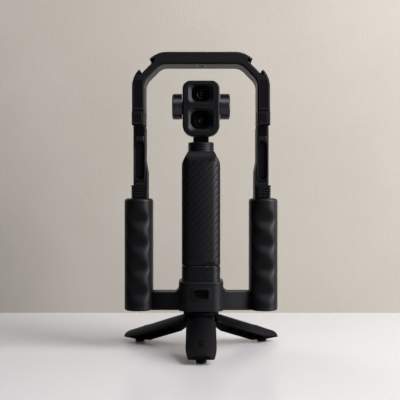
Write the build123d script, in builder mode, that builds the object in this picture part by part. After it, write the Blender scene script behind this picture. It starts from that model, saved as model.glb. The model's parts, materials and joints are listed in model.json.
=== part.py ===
from build123d import *
import os
from math import asin, cos, radians, sin, sqrt

# Two-handed cage for a pocket gimbal camera, on a folding tabletop tripod.
# Millimetres. X to the right, Y to the back, Z up. The main axis is vertical at x = 0, y = 0 while the
# pieces are drawn. The tripod is drawn from the floor up, and the cage and the camera from the cage's
# underside up. Saving a piece sets the origin on the floor under the middle of the footprint.

os.makedirs("parts", exist_ok=True)

# ---------------------------------------------------------------- driving dimensions
fit = 0.05                   # running fit of a pin or shaft, radial
clearance = 0.2              # between a sliding or dropped-in piece and its seat
gap = 0.3                    # between neighbours that never touch

# tripod
leg_angle = 71.4             # opening of a leg from its folded, vertical position
leg_radius = 14.8            # radius of the rod that the three folded legs make
leg_length = 68.8            # from the pivot to the tip
leg_wall = 2.2
leg_web = 2.8                # middle web between the two rows of pockets
leg_rib = 1.8
leg_bays = 4
leg_core = 1.0               # flat on the inner edge of a leg
leg_keel = 2.0               # rail along the inner edge, under the pockets
leg_ramp = 4.0               # slope from the knuckle down to the keel
leg_float = 2.0              # air under an open leg where its underside starts ...
leg_tip_float = 4.4          # ... and at its tip
leg_tip_face = 4.153         # height of the blunt tip of an open leg
leg_tip_round = 2.4
leg_tip_corner = 7.0
leg_belly = 8.5              # rounding of the lower corners, seen from the tip
pivot_radius = 9.0           # from the main axis to a leg's pin
knuckle_radius = 4.2         # of the two ears of a leg
knuckle_width = 15.8
tongue_radius = 3.4          # of the hub's tongue between the ears
tongue_width = 6.0
pin_radius = 1.25
hub_radius = 15.3
hub_thickness = 3.8
hub_core = 4.2               # boss round the screw, between the three tongues
hub_core_drop = 1.5          # from the pins down to the underside of the boss
hub_edge = 0.5
pad_thickness = 0.6
pad_radius = 13.8
stud_radius = 3.175          # 1/4 inch
stud_engagement = 5.0
stud_flange_radius = 6.0
stud_flange = 1.3
stud_point = 0.7             # chamfer at the screw's upper end
stud_rise = 1.4              # from the pins up to the foot of the screw
foot_setback = 10.8          # from a leg's tip to the middle of its foot
foot_top_radius = 4.7
foot_tread_radius = 3.9
foot_height = 4.6
foot_cone = 3.4              # height of the foot's conical part
foot_edge = 0.5
screw_well_length = 11.0     # well of the clamping screw in a leg's outer face
screw_well_width = 4.3
screw_well_depth = 1.2
screw_well_setback = 17.8    # from a leg's tip to the middle of the well
pocket_start = 15.0          # of the leg's pockets, from the pivot
pocket_setback = 14.8        # from a leg's tip to the end of its pockets

# cage: collar, cross bars and grips
collar_corner = 8.5
collar_wall = 2.4
collar_floor = 3.0
collar_height = 25.1
collar_edge = 1.0
window_width = 13.0
window_height = 8.1
window_level = 14.6          # middle of the window above the collar's underside
window_corner = 1.7
window_rim = 1.4
window_proud = 0.5
bar_height = 15.6
bar_depth = 18.0
bar_gusset = 4.8
bar_chamfer = 0.8
grip_offset = 0.55           # from the middle of a rail out to the middle of the grip
grip_width = 24.3
grip_depth = 34.0
grip_height = 96.4
grip_cap = 2.8               # smooth end cap under a grip
grip_corner = 12.1
grip_top_round = 2.6
scallop_pitch = 20.7
scallop_radius = 13.6
scallop_depth = 2.8
scallop_count = 4
scallop_margin = 18.2        # from the grip's top to the middle of the first scallop

# cage: arms and locks
rail_middle = 53.4           # from the main axis to the middle of a rail, its arm and its grip
arm_outward = 4.5            # from the middle of a rail to the arm's outer side ...
arm_inward = 5.5             # ... and to its inner side
arm_depth = 26.0
arm_top = 157.7
arm_edge = 1.6
arm_flare = 1.8              # the arm's foot is this much thicker on its inner side
arm_flare_top = 129.2
arm_flare_bottom = 118.9
stem_width = 9.0
stem_depth = 18.0
groove_width = 8.0
groove_depth = 2.2
groove_offset = 1.0          # from the middle of a rail in to the middle of the groove
groove_foot_round = 2.0
groove_bottom = 110.4
groove_top = 145.2
slit_width = 1.2
screw_radius = 1.5
screw_head_radius = 2.8
screw_head = 1.8
screw_bite = 9.0
screw_spread = 10.0
lock_height = 10.9
lock_inward = 6.1            # from the middle of a rail to the lock's inner end
lock_back = 8.0
lock_corner = 2.0
lock_edge = 0.45
lock_ribs = 4
nose_width = 3.0
nose_height = 4.0
lock_rib_pitch = 2.3
lock_rib_depth = 0.5
lock_travel = 3.0
lock_plate = 1.6

# bridge
bridge_top = 221.3
bridge_bar = 10.3            # height of the top bar
bridge_depth = 30.0
bridge_outward = 5.5         # from the middle of a rail to the bridge's outer side
bridge_leg = 10.7
bridge_corner = 26.9         # from the outer sides to the point that a shoe is measured from
bridge_round = 21.0          # rounding on both sides of a shoe
bridge_chamfer = 14.0        # leg of the 45 degree inner corners
bridge_inner_round = 12.0
bridge_bottom = 170.6
cuff_height = 11.9
cuff_lip = 0.25
cuff_corner = 1.6
cuff_edge = 0.7
bridge_edge = 1.2
liner_thickness = 1.5
liner_width = 22.8
liner_shadow = 0.6           # open groove on both sides of the liner
shoe_flat = 23.2             # from that point to the outer face of the shoe's lips
shoe_opening = 12.6
shoe_width = 18.8
shoe_lip = 1.65
shoe_slot = 2.2
shoe_stop = 2.5              # closed back end of the shoe
shoe_plate_thickness = 0.6
shoe_plate_width = 17.8
shoe_plate_setback = 3.3     # from the bridge's front to the spring plate
rail_thickness = 4.6
rail_depth = 18.0
rail_bottom = 98.2
rail_top = 198.2
bridge_screw_inset = 5.5
insert_width = 6.6
insert_bottom = 173.7
insert_top = 197.2
insert_depth = 1.2
insert_corner = 1.0
bush_radius = 4.5
bush_bore = 3.175            # 1/4 inch
bush_mouth = 0.6

# camera handle and its threaded adapter
handle_width = 33.2
handle_depth = 28.0
handle_corner = 7.0
handle_bottom = 38.7
handle_top = 136.6
handle_wall = 1.9
shoulder_drop = 19.6         # from the handle's top to where its shoulders start, seen from the front
shoulder_margin = 0.15       # from the pan motor to the shoulder's edge
adapter_corner = 6.9
adapter_proud = 0.8          # the adapter stands out this far in front of the handle
adapter_chamfer = 0.9
thread_bush_radius = 5.0
thread_bush_length = 7.0
port_width = 9.2
port_height = 3.5
port_length = 7.0
port_wall = 0.35
port_tongue = 0.7
port_tongue_width = 6.8
port_recess_width = 10.6
port_recess_height = 5.2
port_recess_corner = 1.5
port_recess_depth = 1.5
cavity_bottom = 42.7
cavity_drop = 17.9           # from the handle's top to the cavity's
cavity_inset = 4.6           # thickness of the back wall
battery_side = 4.6           # from the handle's sides to the battery
battery_thickness = 11.0
battery_inset = 3.5          # from the handle's front to the battery
battery_corner = 2.75
board_thickness = 2.0
microphone_drop = 7.4        # from the panel's top to the microphone
microphone_radius = 0.75
panel_inset = 1.8            # from the handle's sides to the panel's
panel_drop = 8.4             # from the handle's top to the panel's
panel_bottom = 42.2
panel_thickness = 0.8
panel_corner = 4.5
screen_inset = 0.9           # from the handle's sides to the screen's
screen_height = 51.0
screen_thickness = 4.8
screen_drop = 35.4           # from the handle's top to the middle of the screen
screen_corner = 3.2
screen_pivot_radius = 4.5
screen_pivot_depth = 2.4
screen_edge = 0.9
screen_rim = 1.8
glass_thickness = 0.8
control_drop = 39.0          # from the middle of the screen to the controls
control_offset = 6.8
well_radius = 4.9
well_depth = 3.0
button_travel = 0.8
button_length = 3.1
button_edge = 0.5
stick_inset = 1.5            # from the handle's back in to the joystick's pivot
stick_ring = 1.2
stick_play = 0.4
stick_base = 0.8
stick_base_radius = 2.9
stick_radius = 1.5
stick_cap_lift = 2.5
stick_cap = 2.0
stick_cap_radius = 4.0

# gimbal and head
motor_radius = 11.15
pan_motor_height = 5.8
pan_cap_height = 2.1
pan_cap_edge = 0.7
tilt_rise = 39.4             # from the handle's top to the tilt axis
arm_reach = 27.0             # from the pan axis to the front of the gimbal's back arm
arm_knee = 2.5               # rounding inside the back arm's knee
arm_clearance = 1.5          # the back arm steps down this far behind the pan motor
gimbal_arm_width = 14.0
gimbal_arm_thickness = 6.0
gimbal_arm_bend = 6.0
roll_motor_radius = 9.5
roll_motor_length = 6.6
shaft_radius = 4.0
shaft_length = 2.0
motor_gap = 0.6
motor_seam = 2.2
motor_edge = 1.0
gimbal_arm_drop = 5.5
yoke_thickness = 4.6
yoke_reach = 22.5
yoke_inner = 17.5
yoke_height = 10.0
head_width = 31.8
head_rise = 21.1             # from the tilt axis to the head's top ...
head_drop = 26.3             # ... and to its bottom
head_front = 13.0            # from the tilt axis to the lens face
head_back = 7.0
tilt_motor_reach = 24.9
bezel_width = 23.8
upper_lens_rise = 10.1       # from the tilt axis up to the upper lens ...
lower_lens_drop = 12.2       # ... and down to the lower one
upper_bezel_height = 18.0
lower_bezel_height = 21.6
bezel_depth = 2.6
bezel_corner = 5.0
bezel_rim = 1.0
barrel_radius = 8.2
barrel_length = 8.4
head_top_round = 7.0
head_bottom_round = 9.5
head_front_edge = 1.3
head_back_edge = 6.0
lens_rim = 1.6
lens_bulge = 0.3
# width, height and corner of the window at the back of each bezel
upper_window = (14.6, 12.8, 5.2)
lower_window = (16.4, 14.8, 6.6)
# mouth and seat radius of each lens barrel, then how deep the seat starts and ends
upper_barrel = (7.0, 5.8, 1.4, 4.4)
lower_barrel = (6.6, 3.6, 1.6, 4.4)

# ---------------------------------------------------------------- sizes that follow
out = sin(radians(leg_angle))       # an open leg runs this far outward per millimetre ...
down = cos(radians(leg_angle))      # ... and this far down
leg_thickness = leg_radius - pivot_radius
leg_width = 2 * leg_radius * sin(radians(60))
foot_place = pivot_radius + out * (leg_length - foot_setback)
pivot_height = leg_tip_float + leg_tip_face + down * leg_length - out * leg_thickness
hub_bottom = pivot_height + knuckle_radius + clearance
hub_top = hub_bottom + hub_thickness
cage_lift = hub_top + pad_thickness

collar_width = handle_width + 2 * (collar_wall + clearance)
adapter_depth = handle_depth + 2 * adapter_proud
collar_depth = adapter_depth + 2 * (collar_wall + gap)
grip_top = grip_height
grip_centre = rail_middle + grip_offset
arm_outer = rail_middle + arm_outward
arm_inner = rail_middle - arm_inward
bridge_outer = rail_middle + bridge_outward
cuff_bottom = bridge_bottom - cuff_height
bridge_inner = bridge_outer - bridge_leg
bridge_underside = bridge_top - bridge_bar
channel_thickness = rail_thickness + 2 * clearance
channel_depth = rail_depth + 2 * clearance
stem_inner = rail_middle - stem_width / 2
stem_outer = rail_middle + stem_width / 2
lock_bottom = grip_top + gap
lock_front = -arm_depth / 2 - clearance - lock_plate
lock_outer = arm_outer + clearance + lock_plate
lock_inner = rail_middle - lock_inward
nose_level = lock_bottom + lock_height / 2
shoe_floor = shoe_flat - shoe_lip - shoe_slot
shoe_plate_length = bridge_depth - shoe_stop - shoe_plate_setback
cavity_back = handle_depth / 2 - cavity_inset
cavity_height = handle_top - cavity_drop - cavity_bottom
shoulder_level = handle_top - shoulder_drop
panel_top = handle_top - panel_drop
panel_width = handle_width - 2 * panel_inset
microphone_level = panel_top - microphone_drop
screen_width = handle_width - 2 * screen_inset
screen_level = handle_top - screen_drop
control_level = screen_level - control_drop
battery_width = handle_width - 2 * battery_side
stick_pivot = handle_depth / 2 - stick_inset
tilt_level = handle_top + tilt_rise
head_top = tilt_level + head_rise
head_bottom = tilt_level - head_drop
upper_lens_level = tilt_level + upper_lens_rise
lower_lens_level = tilt_level - lower_lens_drop


def save(piece, name, lift=0.0):
    """Write a finished piece, raised by its lift, with the origin under the middle of the footprint."""
    with BuildPart() as placed:
        with Locations((0, axis_y, lift)):
            add(piece)
    placed.part.label = name
    export_step(placed.part, f"parts/{name}.step")


def save_pair(piece, name):
    """Write a piece of the cage's or camera's right side, and its mirror image of the left side."""
    save(piece, f"{name}_right", cage_lift)
    with BuildPart() as twin:
        mirror(piece, about=Plane.YZ)
    save(twin.part, f"{name}_left", cage_lift)


def save_three(piece, name):
    """Write a piece of the front leg, and its copies on the other two legs."""
    for place, turn in (("front", 0), ("right", 120), ("left", 240)):
        with BuildPart() as copy:
            add(piece, rotation=(0, 0, turn))
        save(copy.part, f"{name}_{place}")


def front(y):
    """Vertical drawing plane at the given y, seen from the front: x to the right, z up."""
    return Plane.XZ.offset(-y)


def dome(rim_y, crown_y, radius, level):
    """Sphere's arc in the YZ plane, from a round piece's rim to its crown on the axis at this level."""
    rise = crown_y - rim_y
    sphere = (radius**2 + rise**2) / (2 * rise)
    half = asin(radius / abs(sphere)) / 2
    return ThreePointArc(
        (rim_y, level + radius),
        (crown_y - sphere + sphere * cos(half), level + abs(sphere) * sin(half)),
        (crown_y, level),
    )


# ================================================================ tripod
# Leg planes stand at the front leg's pivot. leg_side looks along the pin: x runs along the open leg
# and y away from its inner edge. leg_section looks along the leg, leg_top down on its outer face.
pivot = (0, -pivot_radius, pivot_height)
leg_side = Plane(origin=pivot, x_dir=(0, -out, -down), z_dir=(-1, 0, 0))
leg_section = Plane(origin=pivot, x_dir=(1, 0, 0), z_dir=(0, -out, -down))
leg_top = Plane(origin=pivot, x_dir=(1, 0, 0), z_dir=(0, -down, out))


def under_side(along, float_height):
    """Height across the leg, at a place along it, of a level plane this far above the floor."""
    return (float_height - pivot_height + down * along) / out


inner_edge = leg_core - pivot_radius
keel_end = (pivot_height - leg_float + inner_edge * out) / down
stop_rise = knuckle_radius / out    # an open leg's top, level with its knuckle, meets the pivot's plane here
shoulder = (out * leg_thickness - knuckle_radius) / down
pocket_end = leg_length - pocket_setback
pocket_floor = inner_edge + leg_keel
fork_radius = tongue_radius + gap
pin_length = knuckle_width - clearance

with BuildPart() as leg_pockets:
    with BuildSketch(leg_section):
        with Locations((0, -pivot_radius)):
            Circle(leg_radius - leg_wall)
        Rectangle(leg_web, 4 * leg_radius, mode=Mode.SUBTRACT)
    extrude(amount=leg_length)
    with BuildSketch(leg_side):
        with BuildLine():
            Polyline(
                (pocket_start, pocket_floor),
                (keel_end - leg_keel, pocket_floor),
                (pocket_end, under_side(pocket_end, leg_float + leg_keel)),
                (pocket_end, leg_thickness),
                (pocket_start, leg_thickness),
                close=True,
            )
        make_face()
        bay = (pocket_end - pocket_start + leg_rib) / leg_bays
        with Locations(*[(pocket_start + bay * i - leg_rib / 2, 0) for i in range(1, leg_bays)]):
            Rectangle(leg_rib, 4 * leg_radius, mode=Mode.SUBTRACT)
    extrude(amount=leg_radius, both=True, mode=Mode.INTERSECT)

with BuildPart() as leg:
    # a 120 degree sector of the folded rod, cut to the leg's side view
    with BuildSketch(leg_section):
        with Locations((0, -pivot_radius)):
            Circle(leg_radius)
        with BuildLine():
            reach = 2 * leg_radius
            apex = clearance - pivot_radius
            Polyline(
                (0, apex),
                (reach * sin(radians(60)), apex + reach * cos(radians(60))),
                (0, apex + 2 * reach),
                (-reach * sin(radians(60)), apex + reach * cos(radians(60))),
                close=True,
            )
        make_face(mode=Mode.INTERSECT)
    extrude(amount=leg_length)
    with BuildSketch(leg_side) as leg_profile:
        with BuildLine():
            Polyline(
                (0, stop_rise),
                (shoulder, leg_thickness),
                (leg_length, leg_thickness),
                (leg_length, under_side(leg_length, leg_tip_float)),
                (keel_end, inner_edge),
                (pocket_start, inner_edge),
                (pocket_start - leg_ramp, pocket_floor),
                (0, -knuckle_radius),
                close=True,
            )
        make_face()
        tip = leg_profile.vertices().sort_by_distance((leg_length, leg_thickness))[0]
        fillet(tip, leg_tip_round)
    extrude(amount=leg_radius, both=True, mode=Mode.INTERSECT)
    with BuildSketch(leg_top) as leg_plan:
        with Locations((0, -leg_length / 2)):
            Rectangle(2 * leg_radius, leg_length)
        fillet(leg_plan.vertices().group_by(Axis.Y)[0], leg_tip_corner)
    extrude(amount=2 * leg_radius, both=True, mode=Mode.INTERSECT)
    with BuildSketch(Plane.XZ) as leg_end:
        with Locations((0, leg_float)):
            Rectangle(leg_width, 2 * pivot_height, align=(Align.CENTER, Align.MIN))
        fillet(leg_end.vertices().group_by(Axis.Y)[0], leg_belly)
    extrude(amount=2 * leg_length, mode=Mode.INTERSECT)
    # knuckle, forked round the hub's tongue
    with BuildSketch(leg_side):
        Circle(knuckle_radius)
    extrude(amount=knuckle_width / 2, both=True)
    with BuildSketch(leg_side):
        Circle(fork_radius)
        Rectangle(leg_radius, 2 * leg_radius, align=(Align.MAX, Align.CENTER))
        Rectangle(fork_radius, leg_radius, align=(Align.MIN, Align.MAX))
    extrude(amount=tongue_width / 2 + clearance, both=True, mode=Mode.SUBTRACT)
    with Locations(pivot):
        Cylinder(pin_radius + fit, 2 * knuckle_width, rotation=(0, 90, 0), mode=Mode.SUBTRACT)
    add(leg_pockets.part, mode=Mode.SUBTRACT)
    # pocket for the rubber foot
    with BuildSketch(Plane.XY):
        with Locations((0, -foot_place)):
            Circle(foot_top_radius)
    extrude(amount=foot_height, mode=Mode.SUBTRACT)
    # well of the clamping screw on the outer face
    with BuildSketch(leg_top.offset(leg_thickness)):
        with Locations((0, screw_well_setback - leg_length)):
            SlotOverall(screw_well_length, screw_well_width, rotation=90)
    extrude(amount=-screw_well_depth, mode=Mode.SUBTRACT)

with BuildPart() as rear_leg:
    add(leg.part, rotation=(0, 0, 120))

# the origin is under the middle of the footprint; the main axis stands this far behind it
axis_y = -(leg.part.bounding_box().min.Y + rear_leg.part.bounding_box().max.Y) / 2
save_three(leg.part, "leg")

with BuildPart() as foot:
    with BuildSketch(Plane.YZ):
        with BuildLine():
            Polyline(
                (-foot_place, 0),
                (foot_tread_radius - foot_place, 0),
                (foot_top_radius - foot_place, foot_cone),
                (foot_top_radius - foot_place, foot_height),
                (-foot_place, foot_height),
                close=True,
            )
        make_face()
    revolve(axis=Axis((0, -foot_place, 0), (0, 0, 1)))
    fillet(foot.edges().group_by(Axis.Z)[0], foot_edge)
save_three(foot.part, "foot")

# front tongue of the hub, with the neck that joins it to the disc and to the boss
with BuildPart() as tongue:
    with BuildSketch(Plane.YZ):
        with BuildLine():
            Polyline(
                (-hub_core / 2, pivot_height - hub_core_drop),
                (-hub_core, pivot_height - hub_core_drop),
                (-pivot_radius, pivot_height - tongue_radius),
                (-pivot_radius, pivot_height + tongue_radius),
                (gap - pivot_radius, hub_bottom),
                (-hub_core / 2, hub_bottom),
                close=True,
            )
        make_face()
        with Locations((-pivot_radius, pivot_height)):
            Circle(tongue_radius)
    extrude(amount=tongue_width / 2, both=True)

with BuildPart() as hub:
    with BuildSketch(Plane.XY.offset(hub_bottom)):
        Circle(hub_radius)
    extrude(amount=hub_thickness)
    chamfer(hub.edges().filter_by(GeomType.CIRCLE), hub_edge)
    with BuildSketch(Plane.XY.offset(pivot_height - hub_core_drop)):
        Circle(hub_core)
    extrude(amount=hub_bottom - pivot_height + hub_core_drop)
    with PolarLocations(0, 3):
        add(tongue.part)
    with Locations((0, 0, pivot_height)):
        with PolarLocations(pivot_radius, 3, start_angle=-90):
            Cylinder(pin_radius, pin_length, rotation=(90, 0, 0), mode=Mode.SUBTRACT)
    with Locations((0, 0, pivot_height + stud_rise)):
        Cylinder(
            stud_radius,
            hub_radius,
            align=(Align.CENTER, Align.CENTER, Align.MIN),
            mode=Mode.SUBTRACT,
        )
    with Locations((0, 0, hub_top)):
        Cylinder(
            stud_flange_radius,
            stud_flange,
            align=(Align.CENTER, Align.CENTER, Align.MAX),
            mode=Mode.SUBTRACT,
        )
save(hub.part, "hub")

with BuildPart() as hinge_pins:
    with Locations((0, 0, pivot_height)):
        with PolarLocations(pivot_radius, 3, start_angle=-90):
            Cylinder(pin_radius, pin_length, rotation=(90, 0, 0))
save(hinge_pins.part, "hinge_pins")

stud_bottom = pivot_height + stud_rise
stud_top = cage_lift + collar_floor + stud_engagement
with BuildPart() as stud:
    with BuildSketch(Plane.XZ):
        with BuildLine():
            Polyline(
                (0, stud_bottom),
                (stud_radius, stud_bottom),
                (stud_radius, hub_top - stud_flange),
                (stud_flange_radius, hub_top - stud_flange),
                (stud_flange_radius, hub_top),
                (stud_radius, hub_top),
                (stud_radius, stud_top - stud_point),
                (stud_radius - stud_point, stud_top),
                (0, stud_top),
                close=True,
            )
        make_face()
    revolve(axis=Axis.Z)
save(stud.part, "stud")

with BuildPart() as hub_pad:
    with BuildSketch(Plane.XY.offset(hub_top)):
        Circle(pad_radius)
        Circle(stud_radius + clearance, mode=Mode.SUBTRACT)
    extrude(amount=pad_thickness)
save(hub_pad.part, "hub_pad")

# ================================================================ cage, lower part
frame_screw_places = [
    (stem_inner, y, bar_height / 2) for y in (-screw_spread / 2, screw_spread / 2)
]

with BuildPart() as base_frame:
    with BuildSketch(Plane.XY):
        RectangleRounded(collar_width, collar_depth, collar_corner)
    extrude(amount=collar_height)
    fillet(base_frame.edges().group_by(Axis.Z)[-1], collar_edge)
    with BuildSketch(Plane.XZ):
        with BuildLine():
            side = collar_width / 2
            rise = Line((side - 1, bar_height + bar_gusset), (side, bar_height + bar_gusset))
            sweep_up = TangentArc(rise @ 1, (side + bar_gusset, bar_height), tangent=(0, -1))
            Polyline(
                sweep_up @ 1,
                (stem_inner, bar_height),
                (stem_inner, 0),
                (side - 1, 0),
                rise @ 0,
            )
        make_face()
        mirror(about=Plane.YZ)
    extrude(amount=bar_depth / 2, both=True)
    bar_edges = base_frame.edges().filter_by(lambda edge: abs(edge.center().X) > collar_width / 2)
    chamfer(bar_edges.filter_by(Plane.XZ).group_by(Axis.Z)[0], bar_chamfer)
    with BuildSketch(Plane.XY.offset(collar_floor)):
        RectangleRounded(
            collar_width - 2 * collar_wall,
            collar_depth - 2 * collar_wall,
            collar_corner - collar_wall,
        )
    extrude(amount=collar_height, mode=Mode.SUBTRACT)
    # window for the charging port, with a raised frame round it
    with BuildSketch(front(-collar_depth / 2)):
        with Locations((0, window_level)):
            RectangleRounded(
                window_width + 2 * window_rim,
                window_height + 2 * window_rim,
                window_corner + window_rim,
            )
    extrude(amount=window_proud, taper=30)
    with BuildSketch(front(-collar_depth / 2 - window_proud)):
        with Locations((0, window_level)):
            RectangleRounded(window_width, window_height, window_corner)
    extrude(amount=-(collar_wall + window_proud), mode=Mode.SUBTRACT)
    with BuildSketch(Plane.XY):
        Circle(stud_radius + gap)
    extrude(amount=collar_floor, mode=Mode.SUBTRACT)
    for side in (1, -1):
        with Locations(*[(side * x, y, z) for x, y, z in frame_screw_places]):
            Cylinder(screw_radius, 2 * screw_bite, rotation=(0, 90, 0), mode=Mode.SUBTRACT)
save(base_frame.part, "base_frame", cage_lift)

with BuildPart() as arm:
    with BuildSketch(Plane.XZ):
        with BuildLine():
            Polyline(
                (arm_inner - arm_flare, grip_top),
                (arm_inner - arm_flare, arm_flare_bottom),
                (arm_inner, arm_flare_top),
                (arm_inner, arm_top),
                (arm_outer, arm_top),
                (arm_outer, grip_top),
                close=True,
            )
        make_face()
    extrude(amount=arm_depth / 2, both=True)
    fillet(arm.edges().filter_by(Axis.Z).group_by(Axis.X)[-1], arm_edge)
    # front groove, with a slit that shows the rail
    with BuildSketch(front(-arm_depth / 2)) as groove:
        with Locations((rail_middle - groove_offset, (groove_bottom + groove_top) / 2)):
            Rectangle(groove_width, groove_top - groove_bottom)
        fillet(groove.vertices().group_by(Axis.Y)[-1], groove_width / 2 - 0.2)
        fillet(groove.vertices().group_by(Axis.Y)[0], groove_foot_round)
    extrude(amount=-groove_depth, mode=Mode.SUBTRACT)
    with BuildSketch(front(-arm_depth / 2)):
        with Locations((rail_middle, (groove_bottom + groove_top) / 2)):
            SlotOverall(groove_top - groove_bottom - groove_width, slit_width, rotation=90)
    extrude(amount=-arm_depth / 2, mode=Mode.SUBTRACT)
    # channel of the rail
    with BuildSketch(Plane.XY.offset(rail_bottom - clearance)):
        with Locations((rail_middle, 0)):
            Rectangle(channel_thickness, channel_depth)
    extrude(amount=arm_top - rail_bottom + 1, mode=Mode.SUBTRACT)
    # opening for the lock's nose
    with BuildSketch(front(-arm_depth / 2)):
        with Locations((rail_middle, nose_level + lock_travel / 2)):
            Rectangle(nose_width + 2 * clearance, nose_height + lock_travel + 2 * clearance)
    extrude(amount=-arm_depth / 4, mode=Mode.SUBTRACT)
    # stem that the grip is moulded on
    with BuildSketch(Plane.XY.offset(grip_cap)):
        with Locations((rail_middle, 0)):
            Rectangle(stem_width, stem_depth)
    extrude(amount=grip_top - grip_cap)
    with Locations(*frame_screw_places):
        Cylinder(screw_radius, 4 * stem_width, rotation=(0, 90, 0), mode=Mode.SUBTRACT)
    with Locations(*[(stem_outer, y, z) for x, y, z in frame_screw_places]):
        Cylinder(screw_head_radius, 2 * screw_head, rotation=(0, 90, 0), mode=Mode.SUBTRACT)
save_pair(arm.part, "arm")

with BuildPart() as frame_screws:
    for side in (1, -1):
        for x, y, z in frame_screw_places:
            with Locations((side * (stem_inner - screw_bite), y, z)):
                Cylinder(
                    screw_radius,
                    stem_width + screw_bite - screw_head,
                    rotation=(0, 90 * side, 0),
                    align=(Align.CENTER, Align.CENTER, Align.MIN),
                )
            with Locations((side * stem_outer, y, z)):
                Cylinder(
                    screw_head_radius,
                    screw_head,
                    rotation=(0, 90 * side, 0),
                    align=(Align.CENTER, Align.CENTER, Align.MAX),
                )
save(frame_screws.part, "frame_screws", cage_lift)

# what runs through a grip and its cap: the arm's stem and the end of the cross bar
with BuildPart() as grip_core:
    with BuildSketch(Plane.XY.offset(grip_cap)):
        with Locations((rail_middle, 0)):
            Rectangle(stem_width, stem_depth)
    extrude(amount=grip_height)
    with BuildSketch(Plane.XY):
        Rectangle(2 * stem_inner, bar_depth)
    extrude(amount=bar_height)

with BuildPart() as grip:
    with BuildSketch(Plane.XY.offset(grip_cap)):
        with Locations((grip_centre, 0)):
            RectangleRounded(grip_width, grip_depth, grip_corner)
    extrude(amount=grip_top - grip_cap)
    fillet(grip.edges().group_by(Axis.Z)[-1], grip_top_round)
    for i in range(scallop_count):
        dish_y = -grip_depth / 2 - scallop_radius + scallop_depth
        with Locations((grip_centre, dish_y, grip_top - scallop_margin - scallop_pitch * i)):
            Cylinder(scallop_radius, 2 * grip_width, rotation=(0, 90, 0), mode=Mode.SUBTRACT)
    add(grip_core.part, mode=Mode.SUBTRACT)
save_pair(grip.part, "grip")

with BuildPart() as grip_base:
    with BuildSketch(Plane.XY):
        with Locations((grip_centre, 0)):
            RectangleRounded(grip_width, grip_depth, grip_corner)
    extrude(amount=grip_cap)
    fillet(grip_base.edges().group_by(Axis.Z)[0], grip_cap / 2)
    add(grip_core.part, mode=Mode.SUBTRACT)
save_pair(grip_base.part, "grip_base")

with BuildSketch() as lock_plan:
    with Locations(((lock_inner + lock_outer) / 2, (lock_front + lock_back) / 2)):
        Rectangle(lock_outer - lock_inner, lock_back - lock_front)
    fillet(lock_plan.vertices().sort_by_distance((lock_outer, lock_front))[0], lock_corner)
with BuildSketch() as lock_seat:
    with Locations((0, lock_front + lock_plate)):
        Rectangle(2 * (lock_outer - lock_plate), arm_depth, align=(Align.CENTER, Align.MIN))
lock_inset = offset(lock_plan.sketch, amount=-lock_rib_depth)

with BuildPart() as lock:
    with BuildSketch(Plane.XY.offset(lock_bottom)):
        add(lock_plan.sketch)
        add(lock_seat.sketch, mode=Mode.SUBTRACT)
    extrude(amount=lock_height)
    chamfer(lock.edges().group_by(Axis.Z)[-1], lock_edge)
    for i in range(lock_ribs):
        with BuildSketch(Plane.XY.offset(lock_bottom + lock_rib_pitch * (i + 0.5))):
            add(lock_plan.sketch)
            add(lock_inset, mode=Mode.SUBTRACT)
        extrude(amount=lock_rib_pitch / 2, mode=Mode.SUBTRACT)
    with BuildSketch(front(lock_front + lock_plate / 2)):
        with Locations((rail_middle, nose_level)):
            Rectangle(nose_width, nose_height)
    extrude(amount=-(-rail_depth / 2 - gap - lock_front - lock_plate / 2))
save_pair(lock.part, "lock")

# ================================================================ bridge
def opening_face(grow):
    """Inner opening of the bridge, grown outward by the given amount, drawn with y as height."""
    side = bridge_inner + grow
    top = bridge_underside + grow
    cut = bridge_chamfer + grow * (2 - sqrt(2))
    with BuildSketch() as opening:
        with BuildLine():
            FilletPolyline(
                (-side, 0),
                (-side, top - cut),
                (cut - side, top),
                (side - cut, top),
                (side, top - cut),
                (side, 0),
                radius=bridge_inner_round + grow,
            )
            Line((side, 0), (-side, 0))
        make_face()
    return opening.sketch


opening = opening_face(0)
liner_seat = opening_face(liner_thickness)
corner_x = bridge_outer - bridge_corner
corner_z = bridge_top - bridge_corner
# where the 45 degree line of a shoe's lips would meet the bridge's top and its outer side
lip_line_x = corner_x + shoe_flat * sqrt(2) - bridge_corner
lip_line_z = corner_z + shoe_flat * sqrt(2) - bridge_corner
# at both upper corners, with local x pointing out of the shoe
shoe_places = [Location((side * corner_x, corner_z, 0), (0, 0, 90 - 45 * side)) for side in (1, -1)]
bridge_screw_places = [
    (rail_middle, insert_bottom + bridge_screw_inset),
    (rail_middle, insert_top - bridge_screw_inset),
]

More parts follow.
